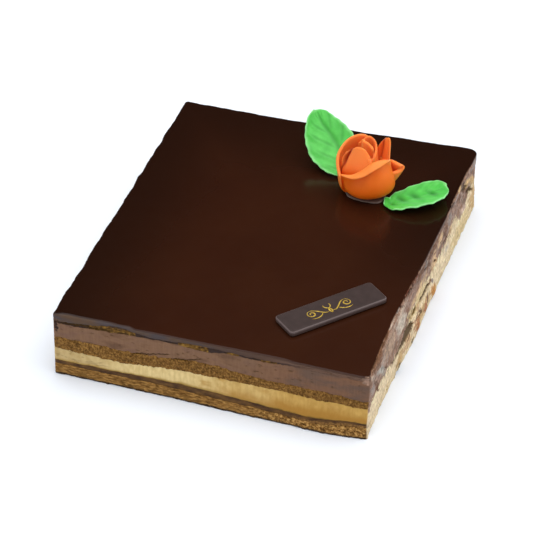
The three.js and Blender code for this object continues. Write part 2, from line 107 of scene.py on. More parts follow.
def smoothstep(low, high, value):
    share = np.clip((np.asarray(value, float) - low) / (high - low), 0, 1)
    return share * share * (3 - 2 * share)


def table_value(place, table):
    """The value at each place, from a table of (place, value)."""
    return np.interp(place, *np.array(table, float).T)


def bell(distance, spread):
    return np.exp(-0.5 * (distance / spread) ** 2)


def linear(red, green, blue):
    """An sRGB colour, each part from 0 to 255, as a linear one."""
    parts = [channel / 255 for channel in (red, green, blue)]
    return [part / 12.92 if part < 0.04045 else ((part + 0.055) / 1.055) ** 2.4 for part in parts] + [1.0]


# ---- Meshes ----
def add_object(name, data):
    added = bpy.data.objects.new(name, data)
    bpy.context.scene.collection.objects.link(added)
    return added


def inside_box(vertices):
    """The vertices, in mm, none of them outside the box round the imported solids."""
    low, high = (np.array(corner) / MM for corner in CAD_BOX)
    return np.clip(np.asarray(vertices, float), low + (BOX_MARGIN, BOX_MARGIN, 0), high - BOX_MARGIN)


def make_piece(name, vertices, faces, material, nodes=(), fields=None):
    """A smooth-shaded mesh piece that rides on the cake and may stand for CAD nodes."""
    mesh = bpy.data.meshes.new(name)
    mesh.from_pydata((inside_box(vertices) * MM).tolist(), [], faces)
    mesh.update()
    mesh.shade_smooth()
    for field, values in (fields or {}).items():
        values = np.asarray(values, np.float32)
        if values.ndim == 1:
            mesh.attributes.new(field, "FLOAT", "POINT").data.foreach_set("value", values)
        else:
            mesh.attributes.new(field, "FLOAT_COLOR", "POINT").data.foreach_set("color", values.ravel())
    mesh.materials.append(material)
    piece = add_object(name, mesh)
    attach(piece, "root")
    if nodes:
        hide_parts(*nodes)
    return piece


def loft_faces(rows, columns):
    """Quads between closed rings, with a point after the last ring for each end."""
    here = np.arange(columns)
    following = (here + 1) % columns
    faces = []
    for row in range(rows - 1):
        low, high = row * columns, (row + 1) * columns
        faces += np.stack([low + here, low + following, high + following, high + here], 1).tolist()
    lower_end, last = rows * columns, (rows - 1) * columns
    faces += np.stack([np.full(columns, lower_end), following, here], 1).tolist()
    faces += np.stack([np.full(columns, lower_end + 1), last + here, last + following], 1).tolist()
    return faces


def loft(rings, lower_centre, upper_centre):
    rings = np.asarray(rings, float)
    rows, columns = rings.shape[:2]
    vertices = np.vstack([rings.reshape(-1, 3), [lower_centre, upper_centre]])
    return vertices, loft_faces(rows, columns)


# ---- Outline of the cake seen from above ----
Wall = namedtuple("Wall", "x y normal_x normal_y run")


def corner_arc(index):
    sign_x, sign_y, radius, shift_y = CORNERS[index % len(CORNERS)]
    turn = np.radians(180 + 90 * (index % len(CORNERS)) + np.linspace(0, 90, CORNER_STEPS + 1))
    normals = np.stack([np.cos(turn), np.sin(turn)], 1)
    centre = [sign_x * (CAKE_WIDTH / 2 - radius), sign_y * (CAKE_LENGTH / 2 - radius) + shift_y]
    return np.array(centre) + radius * normals, normals


def wall_outline():
    places, normals = [], []
    for index in range(len(CORNERS)):
        arc, arc_normals = corner_arc(index)
        start, end = arc[-1], corner_arc(index + 1)[0][0]
        steps = round(float(np.linalg.norm(end - start)) / WALL_STEP)
        share = np.arange(1, steps)[:, None] / steps
        places += [arc, start + (end - start) * share]
        normals += [arc_normals, np.repeat(arc_normals[-1:], steps - 1, 0)]
    (x, y), (normal_x, normal_y) = np.vstack(places).T, np.vstack(normals).T
    bow = np.where(normal_y > 0.99, BACK_BOW * (1 - (2 * x / CAKE_WIDTH) ** 2), 0)
    y = y - bow
    run = np.concatenate([[0], np.cumsum(np.hypot(np.diff(x), np.diff(y)))])
    return Wall(x, y, normal_x, normal_y, run)


WALL = wall_outline()
FRONT = smoothstep(0.7, 0.95, -WALL.normal_y)
RIGHT = smoothstep(0.55, 0.9, WALL.normal_x)
# The noise round the wall starts and ends at the front left corner, and fades out there.
SEAM = smoothstep(0, 2, WALL.run) * smoothstep(0, 2, WALL.run[-1] - WALL.run)

# ---- Levels between the layers: height, wave, phase, bumps (x, y, spread, rise), and how
# ragged the line is: height and length of its ups and downs ----
Level = namedtuple("Level", "height wave phase bumps ragged grain")
LEVELS = {
    "floor": Level(0, 0, 0, [], 0, 1),
    "chocolate": Level(
        6.2, 0.4, 0.3, [(22, -100, 18, -1.2), (55, -100, 13, -2.4), (80, 20, 30, -0.8)], 0.25, 3.5),
    "buttercream": Level(
        8.3, 0.45, 0.45, [(-40, -100, 16, 0.4), (-8, -100, 14, 0.9), (22, -100, 16, -0.9),
                          (52, -100, 14, -2.4), (80, 20, 30, -0.8)], 0.2, 5),
    "spongeMiddle": Level(
        17.1, 0.3, 2.1, [(-66, -100, 14, -1.5), (-44, -100, 12, -1.7), (60, -100, 16, -0.6),
                         (80, -40, 20, -0.8)], 0.5, 1.5),
    "ganache": Level(
        21.9, 0.4, 3.4, [(-66, -100, 12, 0.8), (-4, -100, 14, 2.3), (77, -100, 9, -1)], 0.55, 2.3),
    "spongeTop": Level(
        33, 0.25, 4.2, [(-72, -100, 12, -2.1), (-48, -100, 10, -1), (-26, -100, 10, -0.7),
                        (-4, -100, 7, -2), (24, -100, 10, -0.7)], 0.35, 2),
    "glaze": Level(
        34, 0.12, 4.9, [(-74, -100, 10, -2.1), (-46, -100, 7, 1.2), (-24, -100, 9, -1.1),
                        (-5, -100, 6, 0.3), (24, -100, 10, -0.9), (80, 55, 12, 0.9),
                        (-10, 100, 14, 0.9), (-80, -20, 16, 0.8)], 0.3, 2.4),
}
THINNEST = 0.25                   # no layer is thinner than this where it shows


def level_line(name, seed):
    level = LEVELS[name]
    turn = np.arctan2(WALL.y / CAKE_LENGTH, WALL.x / CAKE_WIDTH)
    wave = (np.sin(5 * turn + level.phase) + 0.6 * np.sin(13 * turn + 2.3 * level.phase)
            + 0.4 * np.sin(29 * turn + 4.1 * level.phase))
    line = level.height + 0.5 * level.wave * wave
    for x, y, spread, rise in level.bumps:
        line = line + rise * bell(np.hypot(WALL.x - x, WALL.y - y), spread)
    return line + SEAM * level.ragged * rough(WALL.run / level.grain, 0.5 * WALL.run / level.grain, seed)


def level_lines():
    """The height of every level round the wall, each one clear of the level below it."""
    lines = {}
    below = None
    for index, name in enumerate(LEVELS):
        line = level_line(name, 300 + 10 * index)
        lines[name] = line if below is None else np.maximum(line, below + THINNEST)
        below = lines[name]
    return lines


LINES = level_lines()

# ---- Dents and bulges of the walls: x, y, z, spread along, spread up, outward ----
# As in the part's source, but with the foot spread a little further at the front right.
WALL_MARKS = [
    (80, -40, 15.6, 17, 1.8, -2.2),
    (80, 2, 16.2, 12, 1.4, -1.1),
    (80, 10, 9, 22, 4, 0.6),
    (80, 72, 28, 14, 4, -0.8),
    (80, -100, 36, 22, 10, 1.2),
    (80, 75, 36, 42, 8, 0.9),
    (80, -78, 1, 22, 6, -0.9),
    (80, -18, 2, 14, 5, 0.8),
    (57, -101, 0, 8, 3, 1.5),
    (34, -101, 0.5, 30, 3.5, 1.8),
    (70, -101, 0, 7, 2.5, 0.9),
]


def mark_depth(z):
    total = np.zeros_like(z)
    for x, y, height, spread_along, spread_up, out in WALL_MARKS:
        total += out * bell(np.hypot(WALL.x - x, WALL.y - y), spread_along) * bell(z - height, spread_up)
    return total


# ---- The rounded rim of the glaze: its radius along the front and along the right side ----
RIM_FRONT = [(-78.2, 0.7), (-75.6, 2.1), (-72, 2.4), (-41, 2.2), (-37.5, 0.5), (80, 0.5)]
RIM_RIGHT = [(-99.5, 0.8), (-96, 1.8), (-88, 2.1), (-56, 2.1), (-44, 1.5), (-28, 1.2), (-10, 0.6),
             (104, 0.45)]
RIM_ELSEWHERE = 0.75


def rim_radii():
    front = table_value(WALL.x, RIM_FRONT)
    right = table_value(WALL.y, RIM_RIGHT)
    radius = FRONT * front + RIGHT * right + (1 - FRONT - RIGHT) * RIM_ELSEWHERE
    return radius * (1 + 0.12 * SEAM * rough(WALL.run / 9, 0, 111))


RIM = rim_radii()


def rim_inset(z):
    """How far the wall is set back at height z, where it rounds over into the top."""
    over = np.clip(z - (CAKE_HEIGHT - RIM), 0, RIM)
    return RIM - np.sqrt(RIM ** 2 - over ** 2)


# ---- Cracks: points as (place along the wall, z, half width), and depth ----
FRONT_CRACKS = [
    ([(-39, 21.3, 0.2), (-34, 22.7, 0.3), (-28, 23.8, 0.3), (-20.5, 25.2, 0.2)], 0.6),
    ([(-18, 23.2, 0.2), (-13, 24.0, 0.3), (-9, 24.6, 0.3), (-4, 26.2, 0.2)], 0.5),
    ([(-57, 31.8, 0.2), (-50, 32.0, 0.3), (-38, 32.4, 0.2)], 0.5),
    ([(-76, 31.1, 0.3), (-70, 31.7, 0.5), (-62, 32.1, 0.5), (-52, 32.3, 0.3)], 0.5),
]
RIGHT_CRACKS = [
    ([(-75, 23.2, 0.2), (-72, 21.2, 0.35), (-68.5, 18.4, 0.2)], 0.4),
    ([(-64, 17.2, 0.3), (-58, 14.4, 0.6), (-54, 14.6, 1.0), (-50, 14.4, 1.3), (-44, 14.8, 1.8),
      (-38, 15, 2.6), (-32, 14.8, 3.0), (-27, 13.6, 2.6), (-24, 12.2, 1.2)], 0.8),
    ([(-13.5, 18.2, 0.4), (-9, 17.4, 1.2), (-3, 16.9, 1.5), (3, 16.6, 1.3), (6, 15.8, 0.5)], 0.8),
    ([(12.5, 25.2, 0.4), (15.2, 24.2, 0.9), (18, 23.2, 0.4)], 0.6),
    ([(66, 33, 0.5), (72, 31.2, 1.7), (79, 28.2, 0.7)], 0.7),
    ([(77, 25.2, 0.5), (81, 24, 1.6), (85.5, 21.6, 1.5), (91, 17.2, 0.4)], 0.8),
    ([(-14, 9.6, 0.4), (-10, 8.8, 1.0), (-6, 7.8, 0.5)], 0.5),
]
# Where the wall stands out by 1 mm, what is smeared over it lies this much further along and down.
DRIFT_ALONG, DRIFT_DOWN = 3.17, 2.42


def crack_share(place_z, drift):
    """How deep in a crack each point of the wall lies, from 0 to 1, which sets the crack's painted shade,
    and how deep that is in mm.
    """
    depth = np.zeros_like(place_z)
    share = np.zeros_like(place_z)
    torn = rough(WALL.run / 1.3, place_z / 1.2, 617)
    sides = [(FRONT, WALL.x, crack) for crack in FRONT_CRACKS]
    sides += [(RIGHT, WALL.y, crack) for crack in RIGHT_CRACKS]
    for side, place, (points, reach) in sides:
        place = place + drift - DRIFT_ALONG * RIGHT * reach
        level = place_z + DRIFT_DOWN * RIGHT * reach
        along, heights, widths = np.array(points, float).T
        line = np.interp(place, along, heights) + 0.4 * rough(WALL.run / 2.2, 0, 611)
        width = np.interp(place, along, widths) * (1 + 0.3 * torn)
        ends = smoothstep(along[0] - 1, along[0] + 1, place)
        ends = ends * smoothstep(along[-1] + 1, along[-1] - 1, place)
        inside = side * ends * smoothstep(1.25, 0.9, np.abs(level - line) / width)
        depth = np.maximum(depth, reach * inside)
        share = np.maximum(share, inside ** 0.7)
    return share, depth


# ---- What the knife smeared over the walls: colour, how far it stands out, and how lumpy ----
Smear = namedtuple("Smear", "colour out lumps")
SMEARS = {
    "cream": Smear((234, 212, 173), 0, 0.1),
    "golden": Smear((226, 202, 152), 0, 0.1),
    "tan": Smear((208, 174, 122), 0.1, 0.2),
    "peach": Smear((214, 180, 138), 0.3, 0.2),
    "pale": Smear((180, 158, 140), 0.1, 0.2),
    "fawn": Smear((178, 148, 122), 0.1, 0.2),
    "chalk": Smear((206, 190, 170), 0.1, 0.15),
    "lilac": Smear((206, 176, 158), 0.1, 0.15),
    "moss": Smear((108, 82, 26), -0.1, 0.2),
    "ash": Smear((172, 164, 152), 0.1, 0.2),
    "mauve": Smear((154, 124, 106), 0, 0.2),
    "grey": Smear((150, 134, 124), 0.1, 0.2),
    "brown": Smear((116, 82, 60), 0, 0.25),
    # Umber is a dark brown smear that also stands in as painted shade between the lumps.
    "umber": Smear((66, 42, 28), -0.1, 0.3),
    "rust": Smear((180, 122, 84), 0.3, 0.4),
    "maroon": Smear((120, 70, 54), 0.1, 0.3),
    "orange": Smear((204, 146, 80), 0.4, 0.25),
    "olive": Smear((150, 116, 44), -0.1, 0.6),
    # A near-black brown, for the darkest spots.
    "near_black": Smear((48, 30, 22), -0.3, 0.2),
}
# Patches: smear, place of the middle along the wall, its z, half length, half height, and how much
# the patch climbs per mm. Later ones lie on top. On the right they lie as seen in the photo.
RIGHT_PATCHES = [
    ("mauve", -102, 26, 7, 13, 0),
    ("brown", -87, 35.8, 10.5, 4.2, -0.1),
    ("pale", -96, 31.8, 4.5, 1.6, -0.55),
    ("umber", -92, 38.6, 8, 1.6, 0),
    ("brown", -71, 37.2, 9, 3.6, 0),
    ("mauve", -66, 35.6, 9, 1.8, 0),
    ("pale", -62, 38.8, 5.5, 1.3, 0),
    ("grey", -49.5, 40.2, 4, 2.2, 0),
    ("near_black", -46.6, 39.4, 1.6, 1.4, 0),
    ("maroon", -31, 38.2, 13, 1.1, -0.05),
    ("umber", -27, 36.4, 13, 1.5, -0.08),
    ("maroon", -19, 35.6, 6, 0.9, 0),
    ("pale", -46, 34, 13, 2.6, 0),
    ("fawn", -65, 28.6, 12, 6, -0.15),
    ("brown", -8, 32.4, 9, 2.6, 0),
    ("brown", 14, 31.2, 12, 2.4, 0),
    ("golden", -13, 17.5, 15, 4, 0),
    ("grey", -94.5, 24, 4, 3.4, -0.3),
    ("brown", -87.3, 21.6, 5, 2.6, -1.05),
    ("ash", -79.5, 24.3, 6.5, 3, -0.6),
    ("pale", -77, 28.6, 4, 1.8, -0.3),
    ("chalk", -45, 27.6, 9.5, 6.5, -0.25),
    ("mauve", -24, 28.5, 9, 4.2, -0.1),
    ("umber", -43, 36.5, 3, 0.8, -0.6),
    ("peach", -13, 24.4, 15, 3.0, 0),
    ("golden", -30, 22.4, 5, 1.4, 0),
    ("golden", -11, 21.4, 10, 2, 0),
    # Dark olive beside the golden lumps: painted shade.
    ("olive", -22, 17.8, 5.4, 2.8, 0),
    ("moss", -20.4, 17.8, 3.8, 1.8, -0.1),
    ("peach", -13.4, 14.8, 2.6, 2.6, 0),
    ("olive", -66.6, 5, 2, 2, 0),
    ("tan", -44, 6.4, 5, 3.4, 0),
    ("near_black", -47, 1.6, 4.2, 1.8, 0),
    ("peach", -31, 7, 7, 4, 0),
    ("tan", -3, 6.4, 13, 4, 0),
    ("rust", -14.5, 5.4, 6, 4.6, -0.5),
    ("brown", -7.6, 8.6, 3.2, 1.6, -0.3),
    ("brown", -29, 8, 6, 0.6, 0.1),
    ("brown", -15, 10.4, 4.5, 0.8, 0.25),
    ("near_black", -21, 0.2, 2.2, 1.2, 0),
    ("rust", -23, 11.5, 5, 0.8, -0.2),
    ("rust", 2, 4.4, 3.4, 3.4, 0),
    ("brown", 5, 7.2, 1.6, 3.4, 0),
    ("orange", 16.5, 4.2, 4.6, 4.2, -0.6),
    ("grey", 14, 12, 3, 1.6, -0.9),
    ("peach", 20, 20.6, 3.6, 2.4, -0.4),
    ("chalk", 41, 13.2, 5.4, 2.6, -0.3),
    ("brown", 9.7, 14.5, 2, 1.4, 0),
    ("grey", 1, 31.2, 3, 2, 0),
    ("umber", 3, 29.4, 3.4, 0.9, 0),
    ("peach", 15.5, 22.8, 5.5, 5.4, -0.2),
    ("mauve", 27, 24, 6, 3, -0.9),
    ("brown", 7, 27.3, 3.4, 1.6, -0.3),
    ("peach", 28, 28, 5, 3.2, 0),
    ("umber", 29, 26.6, 2.2, 0.9, 0),
    ("brown", 38.5, 26.6, 5, 3.4, -0.3),
    ("brown", 38.5, 21.8, 3.6, 1.8, -0.3),
    ("peach", 48, 21, 3.4, 2.2, 0),
    ("grey", 47, 28.8, 4.8, 3.4, -0.3),
    ("grey", 58.5, 33, 5, 2, 0),
    ("near_black", 52, 33.4, 4, 0.9, 0),
    ("mauve", 66, 23.4, 5.4, 3.8, -0.6),
    ("lilac", 74, 16.2, 5.4, 2.8, -0.4),
    ("brown", 65, 29.2, 4.4, 2.2, -0.3),
    ("peach", 66, 34.2, 3.6, 1.9, 0),
    ("umber", 73.4, 31, 5.6, 2.6, -0.3),
    ("tan", 83, 27.4, 8, 2.6, -0.3),
    ("tan", 92, 24, 6, 3.4, -0.2),
    ("umber", 90, 29.8, 3.4, 1.5, -0.2),
    ("mauve", 96, 25, 3, 2.6, -0.6),
    ("umber", 101, 21.7, 1.8, 3.2, 0),
    ("grey", 96, 31, 9, 2.4, 0),
    ("golden", 71, 7, 20, 5.5, 0),
    ("tan", 94, 9, 7.5, 7, 0),
]
FRONT_PATCHES = [("near_black", -78.8, 29.8, 1.7, 3.4, 0), ("mauve", 79.5, 33.5, 2.2, 3, 0)]
# Heights along the right side: top of the smeared cream, and the lower edge of the clean glaze.
CREAM_TOP = [(-104, 15), (-85, 18.5), (-66, 15.5), (-58, 13), (-34, 13), (-27, 20), (-5, 22), (15, 18.5),
             (35, 18), (48, 20), (54, 23), (60, 21), (67, 13.5), (76, 13), (82, 18), (96, 24)]
CLEAN_GLAZE = [(-104, 38), (-88, 39.6), (-61, 40.4), (-49, 41.6), (-43, 38.8), (-30, 39), (-20, 37.6),
               (-12, 36.4), (0, 34.4), (28, 33.7), (33, 32.8), (42, 34.6), (60, 36.2), (76, 36.4),
               (87, 34.2), (104, 33.2)]


def patch_share(patch, along, place_z, torn):
    """How much of a torn-edged patch covers each point, from 0 to 1."""
    middle, height, half_length, half_height, climb = patch
    level = height + climb * (along - middle)
    distance = np.hypot((along - middle) / half_length, (place_z - level) / half_height)
    return smoothstep(1.2, 0.7, distance + torn)


LUMPY = 0.25                      # smears lumpier than this lie in crumbs, not as a film


def smear_colour(name):
    return np.array(linear(*SMEARS[name].colour)[:3])


def smears(z, outward):
    """The colour smeared over each point of the wall, how much covers it, and its relief in mm."""
    leaning = RIGHT * outward
    place_z = z - DRIFT_DOWN * leaning
    drift = DRIFT_ALONG * leaning
    run = WALL.run + drift
    upright = rough(run / 1.7, place_z / 6.5, 701, 4)
    fine = rough(run / 2.4, place_z, 711, 4)
    crumbs = rough(run / 1.5, place_z / 1.1, 721)
    torn = 0.5 * fine + 0.35 * rough(WALL.run / 4.5, place_z / 1.6, 731)
    along = WALL.y + drift
    cream_top = table_value(along, CREAM_TOP)
    clean = table_value(along, CLEAN_GLAZE)
    colour = np.zeros(z.shape + (3,)) + smear_colour("mauve")
    relief = 0.1 * upright + 0.12 * fine
    cover = RIGHT * smoothstep(clean + 0.5, clean - 0.5, place_z - 1.2 * torn)

    def lay(name, amount):
        nonlocal colour, relief
        smear = SMEARS[name]
        if smear.lumps > LUMPY:
            amount = amount * (0.2 + 0.8 * smoothstep(-0.35, 0.2, crumbs))
        colour = colour * (1 - amount[..., None]) + amount[..., None] * smear_colour(name)
        relief = relief * (1 - 0.5 * amount) + amount * (smear.out + smear.lumps * fine)

    lay("brown", smoothstep(0.0, 0.7, upright + 0.5 * fine) * smoothstep(14, 24, place_z))
    lay("pale", smoothstep(0.1, 0.8, -upright) * smoothstep(34, 26, place_z))
    lay("cream", smoothstep(-1.4, 1.4, cream_top - place_z + 2.6 * torn + 1.6 * upright))
    for name, *patch in RIGHT_PATCHES:
        lay(name, RIGHT * patch_share(patch, WALL.y + RIGHT * drift, place_z, torn))
    for name, *patch in FRONT_PATCHES:
        amount = FRONT * patch_share(patch, WALL.x + FRONT * drift, place_z, torn)
        lay(name, amount)
        cover = np.maximum(cover, amount)
    mottle = (0.46 + 0.12 * smoothstep(0, 20, along)) * fine + 0.3 * upright
    calm = smoothstep(cream_top + 2, cream_top - 4, place_z)
    colour = colour * (1 + mottle * (1 - 0.55 * calm))[..., None]
    return np.clip(colour, 0.01, 0.9), cover, relief


# ---- Relief of each filling: outward mm, and how much of a pit the point is, for its painted shade ----
def sponge_relief(seed, length, height, z):
    lumps = rough(WALL.run / length, z / height, seed)
    holes = smoothstep(0.2, 0.7, rough(WALL.run / (0.6 * length), z / (0.7 * height), seed + 5))
    return 0.24 * lumps - 0.35 * holes, 0.45 * holes


def top_sponge_relief(z):
    out, holes = sponge_relief(51, 2.0, 1.2, z)
    notches = FRONT * smoothstep(-50, -56, WALL.x) * smoothstep(0.2, 0.6, rough(WALL.run / 1.7, z / 1.4, 57))
    return out - 0.6 * notches, np.maximum(holes, 0.9 * notches)


def chocolate_relief(z):
    return -0.1 + 0.12 * rough(WALL.run / 4, z / 2, 61), np.zeros_like(z)


def cream_relief(z):
    streaks = 0.05 * rough(WALL.run / 1.1, z / 14, 71) + 0.06 * rough(WALL.run / 5, z / 9, 76)
    torn = FRONT * smoothstep(-36, -60, WALL.x) + (1 - FRONT) * (1 - RIGHT) * 0.5
    tears = torn * smoothstep(0.32, 0.75, rough(WALL.run / 3.2, z / 1.3, 81))
    return streaks - 0.4 * tears, 0.15 * tears


def ganache_relief(z):
    drag = 0.05 * rough(WALL.run / 1.3, z / 12, 91) + 0.1 * rough(WALL.run / 7, z / 4, 96)
    nicks = smoothstep(0.62, 0.95, rough(WALL.run / 2.6, z / 1.2, 99))
    return drag - 0.3 * nicks, 0.5 * nicks


def glaze_relief(z):
    return 0.12 * rough(WALL.run / 4, z / 2.2, 101), np.zeros_like(z)


Layer = namedtuple("Layer", "name lower upper profile relief")
LAYERS = [
    Layer("sponge_bottom", "floor", "chocolate", [(0, -0.1), (0.06, 0), (0.3, 0.3), (0.72, 0.25), (1, 0)],
          partial(sponge_relief, 31, 3.6, 1.0)),
    Layer("chocolate_layer", "chocolate", "buttercream", [(0, -0.1), (0.5, 0.05), (1, -0.1)],
          chocolate_relief),
    Layer("coffee_buttercream", "buttercream", "spongeMiddle",
          [(0, -0.1), (0.35, 0.12), (0.7, 0.1), (1, -0.1)], cream_relief),
    Layer("sponge_middle", "spongeMiddle", "ganache", [(0, 0), (0.35, 0.25), (0.7, 0.25), (1, 0)],
          partial(sponge_relief, 41, 1.9, 1.5)),
    Layer("ganache", "ganache", "spongeTop", [(0, -0.05), (0.35, 0.1), (0.7, 0.1), (1, 0)], ganache_relief),
    Layer("sponge_top", "spongeTop", "glaze", [(0, 0.0), (1, 0.05)], top_sponge_relief),
]


def slump(x, z):
    """How far the wall leans out along Y at this height, because the foot has spread."""
    reach = SLUMP_LEFT + (SLUMP_RIGHT - SLUMP_LEFT) * (x / CAKE_WIDTH + 0.5)
    return reach * np.clip(1 - z / CAKE_HEIGHT, 0, 1) ** SLUMP_POWER


def wall_points(z, outward):
    """Points of the wall at heights z, one row of heights to a ring."""
    x = WALL.x + WALL.normal_x * outward
    y = WALL.y * (1 + slump(WALL.x, z) / (CAKE_LENGTH / 2)) + WALL.normal_y * outward
    return np.stack([x, y, z], 2)


FOOT_RAGGED, FOOT_INSET = 0.3, 0.2
FOOT_TOP, FOOT_FULL = 1.6, 0.2    # the ragged foot fades in between these heights


def foot_relief(z):
    """The ragged foot of the wall."""
    ragged = FOOT_RAGGED * rough(WALL.run / 2.2, 0, 141) - FOOT_INSET
    return ragged * smoothstep(FOOT_TOP, FOOT_FULL, z)


RELIEF_HIDDEN, PITS_HIDDEN = 0.7, 0.8  # how much of a layer's relief and pits a smear hides


def dressed_wall(z, outward, recess_shade):
    """The wall with its marks, cracks and smears, and the fields that its materials read."""
    out = mark_depth(z) - rim_inset(z)
    colour, cover, relief = smears(z, out)
    crack, crack_depth = crack_share(z - DRIFT_DOWN * RIGHT * out, DRIFT_ALONG * RIGHT * out)
    relief = relief * cover * smoothstep(CAKE_HEIGHT, CAKE_HEIGHT - 0.5, z)
    out = out + SEAM * (outward * (1 - RELIEF_HIDDEN * cover) + relief + foot_relief(z)) - crack_depth
    # Shade is painted into pits, dents and cracks through the field after the smears.
    fields = {
        "smears": np.concatenate([colour, cover[..., None]], 2).reshape(-1, 4),
        "recess_shade": np.maximum(recess_shade * (1 - PITS_HIDDEN * cover), crack).ravel(),
    }
    return wall_points(z, out), fields


def add_ends(fields):
    """The fields again, with values for the two points that close a loft's ends."""
    return {name: np.concatenate([values, values[:1] * 0, values[:1] * 0])
            for name, values in fields.items()}


BARE_PATCHES = [(-49.5, 12), (-8, 7.5), (12, 3), (30, 4)]  # along the front: x and half length
BARE_FADE = 1.5


def bare_patches():
    """Where the top sponge shows through: a share from 0 to 1 round the wall."""
    share = np.zeros_like(WALL.x)
    for x, half in BARE_PATCHES:
        share = np.maximum(share, FRONT * smoothstep(half + BARE_FADE, half - BARE_FADE, np.abs(WALL.x - x)))
    others = (1 - FRONT) * (1 - RIGHT) * smoothstep(0.25, 0.45, noise(WALL.run / 16, 0, 131))
    return np.maximum(share, others)


EDGE_SHARE, EDGE_RELIEF = 0.12, 0.35  # near its edges a layer keeps this share of its relief


def layer_piece(layer, material):
    low, high = LINES[layer.lower], LINES[layer.upper]
    rows = max(4, round(float(np.mean(high - low)) / ROW_STEP) + 1)
    share = np.linspace(0, 1, rows)[:, None]
    z = low + (high - low) * share
    relief, recess_shade = layer.relief(z)
    edge = smoothstep(0, EDGE_SHARE, share) * smoothstep(1, 1 - EDGE_SHARE, share)
    outward = table_value(share, layer.profile) + relief * (EDGE_RELIEF + (1 - EDGE_RELIEF) * edge)
    rings, fields = dressed_wall(z, outward, recess_shade * np.ones_like(z))
    fields["rise"] = (share * np.ones_like(z)).ravel()
    if layer.name == "sponge_top":
        fields["bare"] = np.tile(bare_patches(), rows)
    lower_centre = (0, 0, LEVELS[layer.lower].height)
    upper_centre = (0, 0, LEVELS[layer.upper].height)
    vertices, faces = loft(rings, lower_centre, upper_centre)
    make_piece(layer.name + "_cut", vertices, faces, material, [layer.name], add_ends(fields))


# ---- Glaze: its cut side, the rounded rim, and the flat top ----
GLAZE_ROWS = 13
GLAZE_TOP_RINGS = [0.992, 0.97, 0.9]
OVERHANG, OVERHANG_FROM = 0.8, 40  # the glaze stands out over the front, to the right of this x
OVERHANG_RISE = 1.4                # it reaches that far out within this height
RAGGED_EDGE = 0.4                  # how ragged the glaze's edge is at the left and the back,
RAGGED_FROM, RAGGED_FULL = CAKE_HEIGHT - 2.5, CAKE_HEIGHT - 1  # between these heights and above


def glaze_heights(low):
    """Heights of the rows from the glaze's lower edge up its cut side and round the rim."""
    start = np.arcsin(np.clip((low - CAKE_HEIGHT + RIM) / RIM, 0, 1))
    straight = np.maximum(CAKE_HEIGHT - RIM - low, 0)
    run = (straight + RIM * (math.pi / 2 - start)) * np.linspace(0, 1, GLAZE_ROWS)[:, None]
    turn = np.clip(start + (run - straight) / RIM, start, math.pi / 2)
    return np.where(run < straight, low + run, CAKE_HEIGHT - RIM * (1 - np.sin(turn)))


def glaze_piece(material):
    low = LINES["glaze"]
    z = glaze_heights(low)
    relief, recess_shade = glaze_relief(z)
    relief = relief * smoothstep(CAKE_HEIGHT, CAKE_HEIGHT - 1, z)
    overhang = OVERHANG * FRONT * smoothstep(OVERHANG_FROM - 2, OVERHANG_FROM + 3, WALL.x)
    unseen = (1 - FRONT) * (1 - RIGHT) * smoothstep(RAGGED_FROM, RAGGED_FULL, z)
    ragged = RAGGED_EDGE * unseen * rough(WALL.run / 7, 0, 151)
    outward = relief + ragged + overhang * smoothstep(0, OVERHANG_RISE, z - low)
    rings, fields = dressed_wall(z, outward, recess_shade)
    flat = np.array([rings[-1] * (share, share, 1) for share in GLAZE_TOP_RINGS])
    count = flat.shape[0] * flat.shape[1]
    fields["smears"] = np.vstack([fields["smears"], np.zeros((count, 4))])
    fields["recess_shade"] = np.concatenate([fields["recess_shade"], np.zeros(count)])
    lower_centre = (0, 0, LEVELS["glaze"].height)
    vertices, faces = loft(np.concatenate([rings, flat]), lower_centre, (0, 0, CAKE_HEIGHT))
    make_piece("glaze_coat", vertices, faces, material, ["glaze"], add_ends(fields))


